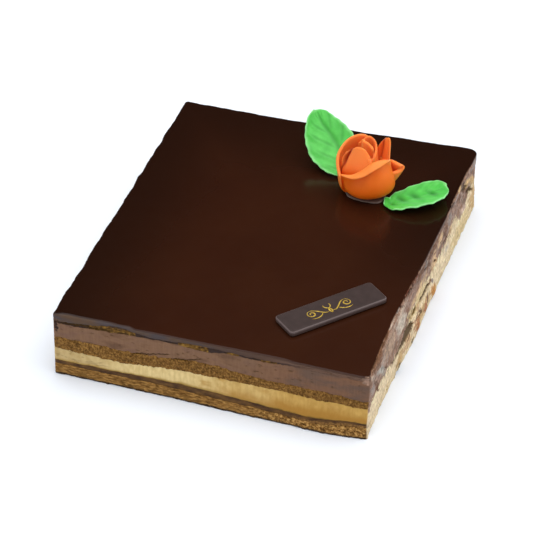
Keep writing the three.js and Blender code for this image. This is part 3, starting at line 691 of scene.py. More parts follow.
# ---- Shader nodes ----
class Shader:
    """One material, with short names for the nodes that it is made of."""

    def __init__(self, name, roughness, specular=0.5):
        self.material = bpy.data.materials.new(name)
        self.material.use_nodes = True
        self.tree = self.material.node_tree
        self.surface = self.tree.nodes["Principled BSDF"]
        self.surface.inputs["Roughness"].default_value = roughness
        self.surface.inputs["Specular IOR Level"].default_value = specular
        self.place = self.tree.nodes.new("ShaderNodeTexCoord").outputs["Object"]

    def link(self, value, socket):
        """Links a socket to another one, or sets it to a number or to an sRGB colour."""
        if isinstance(value, bpy.types.NodeSocket):
            self.tree.links.new(value, socket)
        else:
            socket.default_value = linear(*value) if isinstance(value, tuple) else value

    def noise(self, size, detail=3, stretch=(1, 1, 1), rough_share=0.5):
        """Noise whose lumps are about size mm, longer along an axis with a larger stretch."""
        mapping = self.tree.nodes.new("ShaderNodeMapping")
        self.link(self.place, mapping.inputs["Vector"])
        mapping.inputs["Scale"].default_value = [1 / (size * MM * factor) for factor in stretch]
        texture = self.tree.nodes.new("ShaderNodeTexNoise")
        self.link(mapping.outputs["Vector"], texture.inputs["Vector"])
        texture.inputs["Scale"].default_value = 1
        texture.inputs["Detail"].default_value = detail
        texture.inputs["Roughness"].default_value = rough_share
        return texture.outputs["Fac"]

    def ramp(self, factor, *stops):
        """A colour ramp. Each stop is (position, sRGB colour)."""
        node = self.tree.nodes.new("ShaderNodeValToRGB")
        elements = node.color_ramp.elements
        while len(elements) < len(stops):
            elements.new(0.5)
        for element, (position, colour) in zip(elements, stops):
            element.position = position
            element.color = linear(*colour)
        self.link(factor, node.inputs["Fac"])
        return node.outputs["Color"]

    def mix(self, factor, first, second, blend="MIX"):
        node = self.tree.nodes.new("ShaderNodeMix")
        node.data_type = "RGBA"
        node.blend_type = blend
        self.link(factor, node.inputs["Factor"])
        self.link(first, node.inputs[6])
        self.link(second, node.inputs[7])
        return node.outputs[2]

    def shade(self, colour, grain, low, dark, high):
        """The colour, darkened where the grain is low and as it is where the grain is high."""
        return self.mix(1.0, colour, self.ramp(grain, (low, dark), (high, WHITE)), "MULTIPLY")

    def math(self, operation, first, second):
        node = self.tree.nodes.new("ShaderNodeMath")
        node.operation = operation
        self.link(first, node.inputs[0])
        self.link(second, node.inputs[1])
        return node.outputs[0]

    def plus(self, first, second):
        return self.math("ADD", first, second)

    def times(self, first, second):
        return self.math("MULTIPLY", first, second)

    def stir(self, value, amount, size, detail):
        """The value with noise added, so that what is drawn with it has an uneven edge."""
        return self.plus(value, self.times(self.noise(size, detail), amount))

    def step(self, value, low, high):
        """0 below low, 1 above high, smooth between. Low may be the larger of the two."""
        node = self.tree.nodes.new("ShaderNodeMapRange")
        node.interpolation_type = "SMOOTHSTEP"
        self.link(value, node.inputs["Value"])
        node.inputs["From Min"].default_value = min(low, high)
        node.inputs["From Max"].default_value = max(low, high)
        node.inputs["To Min"].default_value = 0.0 if low < high else 1.0
        node.inputs["To Max"].default_value = 1.0 if low < high else 0.0
        return node.outputs["Result"]

    def axis(self, name):
        """The x, y or z of the point, in mm."""
        node = self.tree.nodes.new("ShaderNodeSeparateXYZ")
        self.link(self.place, node.inputs[0])
        return self.times(node.outputs[name], 1 / MM)

    def field(self, name, output="Fac"):
        """A field that the mesh carries."""
        node = self.tree.nodes.new("ShaderNodeAttribute")
        node.attribute_name = name
        return node.outputs[output]

    def bump(self, height, depth):
        """Bump of the given depth in mm."""
        node = self.tree.nodes.new("ShaderNodeBump")
        node.inputs["Distance"].default_value = depth * MM
        node.inputs["Strength"].default_value = 1
        self.link(height, node.inputs["Height"])
        self.link(node.outputs["Normal"], self.surface.inputs["Normal"])

    def finish(self, colour, roughness=None):
        self.link(colour, self.surface.inputs["Base Color"])
        if roughness is not None:
            self.link(roughness, self.surface.inputs["Roughness"])
        return self.material


# ---- Colours, as sRGB, each part from 0 to 255 ----
WHITE = (255, 255, 255)
SPONGE_DARK = (88, 58, 22)
SPONGE_MID = (137, 98, 48)
SPONGE_LIGHT = (170, 129, 70)
# Painted shade down in pits, dents and cracks.
PIT_SHADE = (66, 44, 8)
CREAM_PALE = (223, 199, 142)
CREAM_GOLDEN = (194, 155, 82)


def smeared(shader, colour):
    """The colour with what the knife smeared over it, and painted shade where there is a pit or a crack."""
    grain = shader.noise(0.9, 4, (1, 1, 2.5))
    smear = shader.shade(shader.field("smears", "Color"), grain, 0.3, (202, 196, 190), 0.65)
    colour = shader.mix(shader.field("smears", "Alpha"), colour, smear)
    return shader.mix(shader.times(shader.field("recess_shade"), 0.93), colour, PIT_SHADE)


def middle_sponge_material():
    """Darker than the bottom sponge, soaked by what lies on both sides of it."""
    shader = Shader("sponge_middle_look", 0.9, 0.15)
    grain = shader.noise(0.9, 4, (1.1, 1.1, 1.2), 0.65)
    colour = shader.ramp(grain, (0.34, (74, 47, 16)), (0.5, (119, 83, 38)), (0.68, (156, 116, 58)))
    shader.bump(grain, 0.4)
    return shader.finish(smeared(shader, colour))


def bottom_sponge_material():
    """Sponge, with painted shade darkening a band along its foot, where it stands on the floor."""
    shader = Shader("sponge_bottom_look", 0.88, 0.15)
    grain = shader.noise(0.9, 4, (3.4, 3.4, 0.8), 0.6)
    colour = shader.ramp(grain, (0.34, SPONGE_DARK), (0.5, SPONGE_MID), (0.66, SPONGE_LIGHT))
    crumbs = shader.noise(1.1, 4, (1.3, 1.3, 0.9), 0.65)
    crumbly = shader.ramp(crumbs, (0.38, (70, 43, 14)), (0.5, SPONGE_MID), (0.61, (190, 148, 86)))
    across = shader.stir(shader.axis("X"), 30, 9, 2)
    colour = shader.mix(shader.step(across, 15, 60), colour, crumbly)
    # Painted shade: a dark band along the foot.
    low = shader.stir(shader.axis("Z"), -1.2, 3, 3)
    colour = shader.mix(shader.step(low, 1.1, 0.2), colour, (58, 42, 28))
    shader.bump(grain, 0.5)
    return shader.finish(smeared(shader, colour))


def chocolate_line_material():
    shader = Shader("chocolate_line_look", 0.6, 0.2)
    colour = shader.ramp(shader.noise(2.5, 3, (2, 2, 1)), (0.35, (62, 38, 16)), (0.7, (104, 72, 32)))
    rise = shader.stir(shader.field("rise"), 0.5, 2, 3)
    crumbs = shader.ramp(shader.noise(1.1, 4), (0.36, SPONGE_DARK), (0.6, SPONGE_MID))
    lower = shader.times(shader.step(rise, 0.85, 0.6), shader.step(shader.axis("X"), 30, 60))
    colour = shader.mix(lower, colour, crumbs)
    shader.bump(shader.noise(1, 3), 0.15)
    return shader.finish(smeared(shader, colour))


def buttercream_material():
    """Paler at the left, more golden and blotched at the right, soaked low at the right, and darker in
    painted shade at the far left and along its lower edge.
    """
    shader = Shader("buttercream_look", 0.65, 0.15)
    across = shader.stir(shader.axis("X"), 60, 26, 2)
    colour = shader.mix(shader.step(across, 5, 85), CREAM_PALE, CREAM_GOLDEN)
    streaks = shader.noise(1.2, 3, (1, 1, 9))
    colour = shader.shade(colour, streaks, 0.3, (240, 236, 228), 0.6)
    blotches = shader.plus(shader.noise(7, 4, (1.5, 1.5, 0.9)), shader.times(shader.axis("X"), 0.0009))
    colour = shader.mix(shader.step(blotches, 0.57, 0.76), colour, (184, 144, 76))
    # Painted shade: darker at the far left, where the cream is dented.
    colour = shader.mix(shader.step(across, -10, -40), colour, (190, 164, 113))
    colour = shader.shade(colour, shader.noise(2.6, 3, (1, 1, 1.4)), 0.36, (240, 236, 227), 0.6)
    # Painted shade: darker towards the lower edge.
    low = shader.stir(shader.field("rise"), 0.24, 6, 3)
    colour = shader.mix(shader.step(low, 0.36, 0.17), colour, (172, 138, 74))
    soaked = shader.step(shader.stir(shader.field("rise"), 0.5, 9, 3), 0.95, 0.45)
    soaked = shader.times(soaked, shader.step(across, 30, 70))
    colour = shader.mix(shader.times(soaked, 0.85), colour, (164, 117, 44))
    # Painted shade along the very lower edge.
    colour = shader.mix(shader.step(low, 0.2, 0.1), colour, (112, 86, 34))
    shader.bump(streaks, 0.06)
    return shader.finish(smeared(shader, colour))


def ganache_material():
    shader = Shader("ganache_look", 0.6, 0.15)
    cloud = shader.noise(4, 5, (2.6, 2.6, 1))
    colour = shader.ramp(cloud, (0.3, (99, 70, 50)), (0.5, (123, 91, 67)), (0.72, (112, 82, 66)))
    clouds = shader.ramp(shader.noise(7, 3, (2.2, 2.2, 0.8)), (0.4, (98, 75, 62)), (0.6, (119, 84, 61)))
    colour = shader.mix(shader.step(shader.axis("X"), 0, 60), colour, clouds)
    streaks = shader.noise(1.0, 3, (1, 1, 7))
    colour = shader.shade(colour, streaks, 0.3, (241, 240, 238), 0.62)
    shader.bump(streaks, 0.08)
    return shader.finish(smeared(shader, colour))


def top_sponge_material():
    """Golden where patches of it are bare, and elsewhere under the glaze that ran over it."""
    shader = Shader("sponge_top_look", 0.8, 0.15)
    grain = shader.noise(1.3, 4, (1.6, 1.6, 1), 0.6)
    bare = shader.ramp(grain, (0.36, (50, 31, 10)), (0.5, (98, 68, 24)), (0.66, (140, 104, 44)))
    high = shader.stir(shader.axis("Z"), 2, 2.5, 3)
    shown = shader.step(shader.field("bare"), 0.3, 0.6)
    shown = shader.times(shown, shader.step(high, 36.2, 35))
    hidden = shader.mix(shader.step(shader.axis("X"), 30, 55), (52, 38, 34), (106, 80, 66))
    colour = shader.mix(shown, hidden, bare)
    shader.bump(grain, 0.35)
    return shader.finish(smeared(shader, colour))


def glaze_material():
    shader = Shader("glaze_look", 0.14, 0.17)
    cloud = shader.noise(45, 3)
    colour = shader.ramp(cloud, (0.3, (47, 21, 10)), (0.7, (52, 25, 12)))
    across, along = shader.axis("X"), shader.axis("Y")
    below = shader.plus(shader.axis("Z"), -CAKE_HEIGHT)
    # Painted shade: the top darkens towards its left edge, its back edge and the back of its right edge.
    right = shader.times(shader.step(across, 30, 80), shader.step(along, -60, 30))
    edge = shader.math("MAXIMUM", shader.step(across, -20, -80), right)
    edge = shader.math("MAXIMUM", edge, shader.step(along, 20, 100))
    colour = shader.mix(shader.times(edge, 0.85), colour, (30, 13, 6))
    cut = shader.step(below, -0.03, -0.4)
    # Cut band: its grey-lilac tones are painted reflection of the pale floor, its brown tones the glaze's
    # own colour.
    band_and_reflection = shader.ramp(shader.noise(3.5, 3, (2.5, 2.5, 0.7)), (0.38, (68, 59, 60)), (0.64, (82, 62, 47)))
    band_and_reflection = shader.mix(shader.step(across, -30, 30), band_and_reflection, (76, 54, 42))
    low = shader.times(shader.step(below, -0.6, -1.4), shader.step(across, 20, 50))
    band_and_reflection = shader.mix(low, band_and_reflection, (104, 77, 62))
    colour = shader.mix(cut, colour, band_and_reflection)
    roughness = shader.plus(shader.stir(0.13, 0.06, 6, 2), shader.times(cut, 0.4))
    shader.bump(shader.noise(14, 2), 0.05)
    return shader.finish(smeared(shader, colour), roughness)


def dab_material():
    shader = Shader("dab_look", 0.35)
    colour = shader.ramp(shader.noise(4, 4), (0.3, (82, 62, 54)), (0.7, (108, 86, 76)))
    shader.bump(shader.noise(1.2, 3), 0.03)
    return shader.finish(colour)


def plaque_material():
    """Moulded chocolate, with painted light: a highlight along the rim of its face, and sides lighter than
    the face.
    """
    shader = Shader("plaque_look", 0.45, 0.25)
    colour = shader.ramp(shader.noise(4, 4), (0.3, (48, 34, 31)), (0.7, (58, 43, 40)))
    below = shader.plus(shader.axis("Z"), -PLAQUE_TOP)
    # Painted light: the sides lighter than the face.
    colour = shader.mix(shader.step(below, -0.4, -1.2), colour, (78, 62, 58))
    # Painted highlight along the rim of the face.
    rim = shader.times(shader.step(below, -1.6, -0.6), shader.step(below, -0.01, -0.2))
    colour = shader.mix(rim, colour, (108, 94, 92))
    shader.bump(shader.noise(1.2, 3), 0.03)
    return shader.finish(colour)


def gold_material():
    shader = Shader("gold_look", 0.45, 0.3)
    colour = shader.ramp(shader.noise(1.5, 3), (0.35, (150, 118, 26)), (0.65, (206, 174, 66)))
    shader.bump(shader.noise(0.5, 2), 0.02)
    return shader.finish(colour)


def soften(shader, weight, radius):
    """Lets light soak into marzipan by up to radius mm of red, green and blue."""
    shader.surface.inputs["Subsurface Weight"].default_value = weight
    shader.surface.inputs["Subsurface Radius"].default_value = radius
    shader.surface.inputs["Subsurface Scale"].default_value = MM


def rose_material():
    """Orange marzipan, with painted shade darker towards the petals' feet and dark red down in the folds,
    and a painted highlight lighter at the petals' rims.
    """
    shader = Shader("rose_look", 0.5, 0.2)
    cloud = shader.noise(7, 3)
    colour = shader.ramp(cloud, (0.32, (240, 112, 18)), (0.68, (247, 119, 28)))
    height = shader.field("height_share")
    # Painted shade: darker towards the petals' feet.
    colour = shader.mix(shader.step(height, 0.6, 0.05), colour, (226, 100, 8))
    # Painted highlight: lighter towards the petals' rims.
    colour = shader.mix(shader.step(height, 0.74, 0.95), colour, (255, 140, 64))
    # Painted shade: dark red down in the folds.
    colour = shader.mix(shader.field("fold_shade"), colour, (150, 34, 0))
    soften(shader, 0.4, (2.4, 0.8, 0.3))
    shader.bump(shader.noise(0.8, 3), 0.04)
    return shader.finish(colour)


def leaf_material():
    """Green marzipan, with painted shade darker in the pressed veins and dimples and a painted highlight
    lighter at the rim.
    """
    shader = Shader("leaf_look", 0.42, 0.4)
    colour = shader.ramp(shader.noise(5, 3), (0.3, (68, 185, 66)), (0.7, (88, 204, 82)))
    # Painted shade in the pressed veins and dimples.
    colour = shader.mix(shader.field("vein"), colour, (36, 138, 38))
    # Painted highlight along the rim.
    rim = shader.times(shader.field("rim"), 0.7)
    colour = shader.mix(rim, colour, (150, 228, 150))
    soften(shader, 0.2, (0.5, 1.5, 0.5))
    shader.bump(shader.noise(0.8, 3), 0.05)
    return shader.finish(colour)


# ---- Thin shells with rounded rims, for petals and leaves ----
RIM_ROUNDNESS = 0.35              # how far the rim stands out, against its thickness


def border_indices(along, up):
    """Grid places round the border of a shell, anticlockwise as seen from its face."""
    bottom = [(i, 0) for i in range(along)]
    right = [(along, j) for j in range(up)]
    top = [(i, up) for i in range(along, 0, -1)]
    left = [(0, j) for j in range(up, 0, -1)]
    return bottom + right + top + left


def shell(surface, thickness, along, up):
    """Vertices, faces and the (u, v) of each vertex of a closed shell with a rounded rim."""
    nudge = 1e-3
    front, rear, places = [], [], []
    for j in range(up + 1):
        for i in range(along + 1):
            u, v = i / along, j / up
            point = surface(u, v)
            across = surface(min(u + nudge, 1), v) - surface(max(u - nudge, 0), v)
            upward = surface(u, min(v + nudge, 1)) - surface(u, max(v - nudge, 0))
            normal = across.cross(upward).normalized()
            front.append(point)
            rear.append(point - normal * thickness(u, v))
            places.append((u, v))
    rim, rim_places = rounded_rim(front, rear, places, along, up)
    return front + rear + rim, shell_faces(along, up), places + places + rim_places


def rounded_rim(front, rear, places, along, up):
    """Points half way through the rim, standing out by part of its thickness."""
    row = along + 1
    rim, rim_places = [], []
    for i, j in border_indices(along, up):
        here = j * row + i
        inner = min(max(j, 1), up - 1) * row + min(max(i, 1), along - 1)
        out = (front[here] - front[inner]).normalized()
        width = (front[here] - rear[here]).length
        rim.append((front[here] + rear[here]) / 2 + out * RIM_ROUNDNESS * width)
        rim_places.append(places[here])
    return rim, rim_places


def shell_faces(along, up):
    row = along + 1
    count = row * (up + 1)
    faces = []
    for j in range(up):
        for i in range(along):
            a, b = j * row + i, j * row + i + 1
            faces.append((a, b, b + row, a + row))
            faces.append((a + count, a + row + count, b + row + count, b + count))
    border = border_indices(along, up)
    for k, (i, j) in enumerate(border):
        following = (k + 1) % len(border)
        p, q = j * row + i, border[following][1] * row + border[following][0]
        rim_p, rim_q = 2 * count + k, 2 * count + following
        faces.append((q, p, rim_p, rim_q))
        faces.append((rim_q, rim_p, p + count, q + count))
    return faces


def soften_mesh(piece):
    modifier = piece.modifiers.new("smooth", "SUBSURF")
    modifier.levels = 1
    modifier.render_levels = 1


# ---- Rose ----
ROSE_X, ROSE_Y, ROSE_TURN = 34.8, 48.8, 17.5
ROSE_THICKNESS, ROSE_RIM_THICKNESS = 1.15, 0.7
OUTER_FOOT, INNER_FOOT = 1.6, 4.2
BELLY_HEIGHT, FOOT_REACH = 0.12, 0.4
PETAL_RIPPLE = 0.15
PETAL_STEPS_ALONG, PETAL_STEPS_UP = 44, 22
Petal = namedtuple("Petal", "name start end base foot_radius foot_thickness belly lean neck edge")
PETALS = [
    Petal("rose_petal_left", 58, 211, OUTER_FOOT, [10.3, 10, 10.9], [0.9, 2.6, 0.9], [7, 6.6, 4.8],
          [0, -1.6, -0.6], 0.7,
          [(5, 12.6, 18), (-0.2, 13.2, 24.7), (-5, 12.6, 25.1), (-9.9, 10.6, 23.6), (-13.2, 7.3, 21.6),
           (-15.5, 2.8, 19), (-15.8, -1.2, 16.6), (-15, -5.4, 14), (-13.8, -8.2, 12.2)]),
    Petal("rose_petal_front", 202, 343, OUTER_FOOT, [8.6, 10.2, 10.2], [0.9, 2.6, 0.9], [4.2, 15.8, 10.5],
          [-4, -12, -1.5], [1, 1.42, 0.75],
          [(-12.6, -8, 14.2), (-6.6, -15.2, 16.4), (-2.1, -16.2, 18.2), (2.5, -15.4, 21), (7.1, -12.6, 22.5),
           (10.1, -8.8, 22.4), (12.3, -4.6, 20.5)]),
    Petal("rose_petal_right", 66, -28, OUTER_FOOT, [8.2, 9.2, 8.1], [0.9, 1.8, 0.9], [3, 6.8, 1.4],
          [-1, -1.9, -1.5], 0.66,
          [(6.6, 10.9, 12.4), (13, 5.5, 14.2), (16.4, 1.2, 15.4), (19.5, -2, 15.1), (17.2, -3.8, 13.2),
           (10.2, -4.1, 11.4)]),
    Petal("rose_petal_upright", 70, 8, INNER_FOOT, 6.6, 1.1, 3.4, 0.5, 0.6,
          [(5.5, 11.4, 17.5), (7.7, 10.6, 22.4), (10.6, 9.2, 25.5), (12.1, 7.2, 26.3), (12.4, 4, 21.4),
           (12, 1.4, 17.2)]),
    Petal("rose_petal_back", 118, -54, INNER_FOOT, 4.9, 1.1, 2.5, [0.7, 0.9, 1.4], 0.55,
          [(-4.4, 9.4, 22.3), (1.2, 11.3, 25.3), (4.7, 9.8, 23.4), (5.7, 6.6, 21.1), (4.6, 2.2, 19.9),
           (2.2, -2.2, 18.6)]),
    Petal("rose_petal_inner", 184, 290, INNER_FOOT, 6.4, 1.6, 4.6, [1.4, 4.8, 6.8], 0.62,
          [(-11.2, 1.4, 18), (-10.4, -0.2, 22), (-7.8, -1.2, 25.4), (-4.6, -2, 26.8), (-1.1, -2.7, 25.7),
           (0.9, -4.1, 23.2), (1.5, -6.2, 20.4)]),
    Petal("rose_petal_bud", 178, 352, INNER_FOOT, 3.6, 1.15, 0.6, 0.7, 0.7,
          [(-2.8, 4.6, 27.6), (-1.6, 2.6, 27), (0, 1.8, 26.3), (1.6, 1.2, 24.7), (1.9, 0.4, 22.5)]),
]


# Folds pressed into the petals: from (t, v) to (t, v), spread, outward mm, and how dark the painted
# shade is down there, below 0 where only the petal's inner face gets it.
FOLDS = {
    "rose_petal_front": [((0, 0.8), (0, 0.35), 0.11, 2.1, 0)],
    "rose_petal_inner": [((0.28, 0.96), (0.22, 0.8), 0.05, -1.7, 1),
                         ((0.22, 0.8), (0.06, 0.5), 0.03, -0.4, 0.9),
                         ((0.12, 1), (0.16, 0.98), 0.06, 0.9, 0), ((0.08, 0.45), (0.08, 0.3), 0.16, 2.1, 0),
                         ((0.9, 1), (0.95, 0.6), 0.05, 0.5, 0)],
    "rose_petal_upright": [((0.27, 1), (0.28, 0.2), 0.06, 1.3, 0.8),
                           ((0.75, 0.9), (0.75, 0.4), 0.2, -0.4, 0)],
    "rose_petal_right": [((0.05, 0.6), (0.9, 0.45), 0.07, 0, -0.35)],
    "rose_petal_back": [((0.2, 0.5), (0.9, 0.55), 0.14, 0, -0.6)],
    "rose_petal_left": [((0.3, 0.45), (0.85, 0.5), 0.11, 0, -0.25)],
}
# The petals' rims: how thick, how suddenly they swell, and how far down their painted highlight comes.
RIMS = {
    "rose_petal_left": (1.8, 6, 0.25), "rose_petal_front": (0.9, 6, 0), "rose_petal_right": (2.8, 4, 0.45),
    "rose_petal_upright": (0.8, 6, 0.5), "rose_petal_back": (1.5, 6, 0.2), "rose_petal_inner": (1.1, 6, 0.3),
    "rose_petal_bud": (1.7, 6, 0.2),
}
FOLD_UP = 0.5                     # a fold's spread up the petal, against its spread along


def fold_share(fold, t, v):
    """How deep in a fold a place of the petal lies, from 0 to 1."""
    (t0, v0), (t1, v1), spread = fold[:3]
    run_t, run_v = t1 - t0, (v1 - v0) * FOLD_UP
    share = ((t - t0) * run_t + (v - v0) * FOLD_UP * run_v) / (run_t ** 2 + run_v ** 2)
    share = min(max(share, 0), 1)
    return float(bell(math.hypot(t - t0 - share * run_t, (v - v0) * FOLD_UP - share * run_v), spread))


def rose_to_cake(point):
    """From the rose's own frame to the cake's, in mm."""
    turned = Matrix.Rotation(math.radians(ROSE_TURN), 3, "Z") @ Vector(point)
    return turned + Vector((ROSE_X, ROSE_Y, CAKE_HEIGHT))


def curve_point(points, t):
    """A point of the centripetal Catmull-Rom curve through the points, t from 0 to 1."""
    place = min(t, 1 - 1e-9) * (len(points) - 1)
    index = int(place)
    share = place - index
    p1, p2 = points[index], points[index + 1]
    p0 = points[index - 1] if index > 0 else 2 * p1 - p2
    p3 = points[index + 2] if index + 2 < len(points) else 2 * p2 - p1
    d0, d1, d2 = ((b - a).length ** 0.5 for a, b in ((p0, p1), (p1, p2), (p2, p3)))
    tangent1 = d1 * ((p1 - p0) / d0 - (p2 - p0) / (d0 + d1) + (p2 - p1) / d1)
    tangent2 = d1 * ((p2 - p1) / d1 - (p3 - p1) / (d1 + d2) + (p3 - p2) / d2)
    square = -3 * p1 + 3 * p2 - 2 * tangent1 - tangent2
    cube = 2 * p1 - 2 * p2 + tangent1 + tangent2
    return p1 + tangent1 * share + square * share ** 2 + cube * share ** 3


def value_along(value, t):
    """The value at t of one number, or of three that stand for the start, middle and end."""
    if not isinstance(value, list):
        return value
    start, middle, end = value
    return start * (1 - t) * (1 - 2 * t) + middle * 4 * t * (1 - t) + end * t * (2 * t - 1)


def petal_place(petal, u):
    """The place t from the petal's start to its end, for a u that always runs anticlockwise."""
    return 1 - u if petal.end < petal.start else u


def petal_surface(petal):
    """Each petal rises from the foot's circle, swells, and ends at its own edge curve."""
    points = [Vector(point) for point in petal.edge]
    folds = FOLDS.get(petal.name, [])

    def surface(u, v):
        t = petal_place(petal, u)
        angle = math.radians(petal.start + (petal.end - petal.start) * t)
        outward = Vector((math.cos(angle), math.sin(angle), 0))
        foot = outward * value_along(petal.foot_radius, t) + Vector((0, 0, petal.base))
        rim = curve_point(points, t)
        rise = rim.z - petal.base
        rim_outward = Vector((rim.x, rim.y, 0)).normalized()
        belly = foot + outward * value_along(petal.belly, t) + Vector((0, 0, BELLY_HEIGHT * rise))
        neck = rim + rim_outward * value_along(petal.lean, t)
        neck.z += (value_along(petal.neck, t) - 1) * rise
        w = 1 - v
        point = w ** 3 * foot + 3 * w * w * v * belly + 3 * w * v * v * neck + v ** 3 * rim
        for fold in folds:
            point += outward * fold[3] * fold_share(fold, t, v)
        return point + outward * PETAL_RIPPLE * math.sin(11 * t + petal.start) * math.sin(6 * v + petal.end)

    return surface


def petal_thickness(petal):
    def thickness(u, v):
        side = abs(2 * u - 1) ** 6
        foot_nearness = 1 - float(smoothstep(0, FOOT_REACH, v))
        body = ROSE_THICKNESS + (ROSE_RIM_THICKNESS - ROSE_THICKNESS) * side
        rim, swell, _ = RIMS[petal.name]
        body += (rim - body) * (1 - side) * v ** swell
        foot = value_along(petal.foot_thickness, petal_place(petal, u))
        return body + (foot - body) * foot_nearness

    return thickness


def petal_piece(petal, material):
    vertices, faces, places = shell(
        petal_surface(petal), petal_thickness(petal), PETAL_STEPS_ALONG, PETAL_STEPS_UP)
    inner_from = (PETAL_STEPS_ALONG + 1) * (PETAL_STEPS_UP + 1)
    # Painted shade in the folds; the height share sets the painted shade at the foot and the painted
    # highlight at the rim.
    fold_shade = []
    for index, (u, v) in enumerate(places):
        dark = 0
        for fold in FOLDS.get(petal.name, []):
            shown = fold[4] if fold[4] > 0 or index < inner_from else -fold[4]
            dark = max(dark, shown * fold_share(fold, petal_place(petal, u), v))
        fold_shade.append(dark)
    fields = {"height_share": [min(v + RIMS[petal.name][2], 1) for _, v in places], "fold_shade": fold_shade}
    points = [rose_to_cake(vertex) for vertex in vertices]
    name = petal.name + "_rolled"
    soften_mesh(make_piece(name, points, faces, material, [petal.name], fields))


HEART_FOOT_RADIUS, HEART_FOOT_SHIFT, HEART_FOOT_TOP = 7.7, -0.3, 3.9
HEART_RADIUS, HEART_HEIGHT, HEART_SHIFT_BACK, HEART_FOLD, HEART_TWIST = 1.9, 24.6, 5.6, 0.5, 150
HEART_SIDES, HEART_RINGS = 40, 24


def bud_ring(share):
    swell = HEART_RADIUS * (0.75 + 0.3 * math.sin(math.pi * share)) * (1 - 0.35 * share ** 3)
    height = HEART_FOOT_TOP + (HEART_HEIGHT - HEART_FOOT_TOP) * share
    ring = []
    for i in range(HEART_SIDES):
        angle = 360 * i / HEART_SIDES
        fold = ((angle + HEART_TWIST * share) % 360) / 360
        radius = swell + HEART_FOLD * share * (fold - 0.5)
        across = HEART_SHIFT_BACK * share + radius * math.sin(math.radians(angle))
        ring.append((radius * math.cos(math.radians(angle)), across, height))
    return ring


def flat_ring(radius, height, sides, shift=0):
    turns = [2 * math.pi * i / sides for i in range(sides)]
    return [(shift + radius * math.cos(turn), radius * math.sin(turn), height) for turn in turns]


def heart_piece(material):
    foot = [(HEART_FOOT_RADIUS - 0.3, OUTER_FOOT), (HEART_FOOT_RADIUS, OUTER_FOOT + 0.3),
            (HEART_FOOT_RADIUS, HEART_FOOT_TOP - 0.4), (HEART_FOOT_RADIUS - 0.15, HEART_FOOT_TOP - 0.1),
            (HEART_FOOT_RADIUS - 0.5, HEART_FOOT_TOP)]
    rings = [flat_ring(radius, height, HEART_SIDES, HEART_FOOT_SHIFT) for radius, height in foot]
    rings += [bud_ring(row / HEART_RINGS) for row in range(HEART_RINGS + 1)]
    lower_centre, upper_centre = (0, 0, OUTER_FOOT), (0, HEART_SHIFT_BACK, HEART_HEIGHT + 0.7)
    vertices, faces = loft(rings, lower_centre, upper_centre)
    points = [rose_to_cake(vertex) for vertex in vertices]
    # The height share paints shade near the heart's foot; capped at 0.8, it gives only part of the rims'
    # painted highlight.
    fields = {"height_share": np.clip((vertices[:, 2] - OUTER_FOOT) / HEART_HEIGHT, 0, 0.8)}
    make_piece("rose_heart_rolled", points, faces, material, ["rose_heart"], fields)


DAB_RADIUS, DAB_HEIGHT, DAB_SIDES = 11.6, 1.2, 96
DAB_LOBE, DAB_LOBE_TURN, DAB_LOBE_SPREAD = 0.3, 296, 13
DAB_PROFILE = [(0.96, 0.08), (1.0, 0.14), (1.02, 0.35), (1.01, 0.6), (0.99, 0.8), (0.95, 0.93), (0.9, 1),
               (0.6, 1.02)]
DAB_WOBBLES = [(3, 1, 0.03), (7, 0, 0.025), (17, 0, 0.008)]  # waves round the rim: how many, phase, share


def dab_piece(material):
    rings = []
    for spread, share in DAB_PROFILE:
        ring = []
        for index, (x, y, z) in enumerate(flat_ring(DAB_RADIUS * spread, DAB_HEIGHT * share, DAB_SIDES)):
            angle = 360 * index / DAB_SIDES
            turn = math.radians(angle)
            wobble = 1 + sum(depth * math.sin(waves * turn + phase) for waves, phase, depth in DAB_WOBBLES)
            wobble += DAB_LOBE * bell(angle - DAB_LOBE_TURN, DAB_LOBE_SPREAD)
            ring.append((x * wobble, y * wobble, z))
        rings.append(ring)
    vertices, faces = loft(rings, (0, 0, 0.1), (0, 0, DAB_HEIGHT * 1.02))
    points = [rose_to_cake(vertex) for vertex in vertices]
    make_piece("rose_dab_set", points, faces, material, ["rose_dab"])


# ---- Leaves: x runs along the midrib from the foot to the tip, y across, z up ----
Leaf = namedtuple("Leaf", "name length width x y lift turn pitch roll fullness bluntness taper sag cup wave")
# How far the midrib bends aside, how deep the veins are pressed, dimples as (along, across, depth),
# notches in the edge as (along, side, mm), and how far the tip is drawn aside.
Press = namedtuple("Press", "bend veins dimples notches tip")
PRESSES = {
    "leaf_large": Press(0.22, 0.7, [], [(0.94, 1, -1.4), (0.88, 1, -0.8)], -1.9),
    "leaf_small": Press(
        0, 0.35, [(0.14, 0.1, 0.8), (0.32, 0.25, 1), (0.49, 0.15, 1), (0.7, -0.1, 1)],
        [(0.17, 1, 2.4), (0.09, 1, -1.8), (0.06, -1, -1.0), (0.72, 1, 0.5), (0.3, -1, 0.4)], 0),
}
LEAVES = [
    Leaf("leaf_large", 39, 24.9, 23.1, 56, 1.7, 141.3, 32.8, -19.5, 0.9, 1.75, 0.63, 0.8, 1, 0.5),
    Leaf("leaf_small", 33.7, 23.1, 49.3, 34.9, 1.9, 38.3, 6.7, -7.6, 1.13, 1.71, 0.43, 0.4, 0.6, 0.6),
]
LEAF_THICKNESS = 1.2
LEAF_TEETH = 10
TOOTH_DEPTH = 0.4
VEIN_DEPTH, DENT_DEPTH = 0.35, 0.7
MIDRIB_SPREAD, VEIN_SPREAD, VEIN_SLANT = 0.08, 0.42, 1.6
DIMPLE_SPREAD_ALONG, DIMPLE_SPREAD_ACROSS, DIMPLE_SLANT = 0.035, 0.28, 0.06
NOTCH_SPREAD = 0.028
LEAF_END = 0.004
LEAF_CROWDING = 0.045             # how far the rows of the mesh crowd towards the foot and the tip
LEAF_STEPS_ACROSS, LEAF_STEPS_ALONG = 40, 100


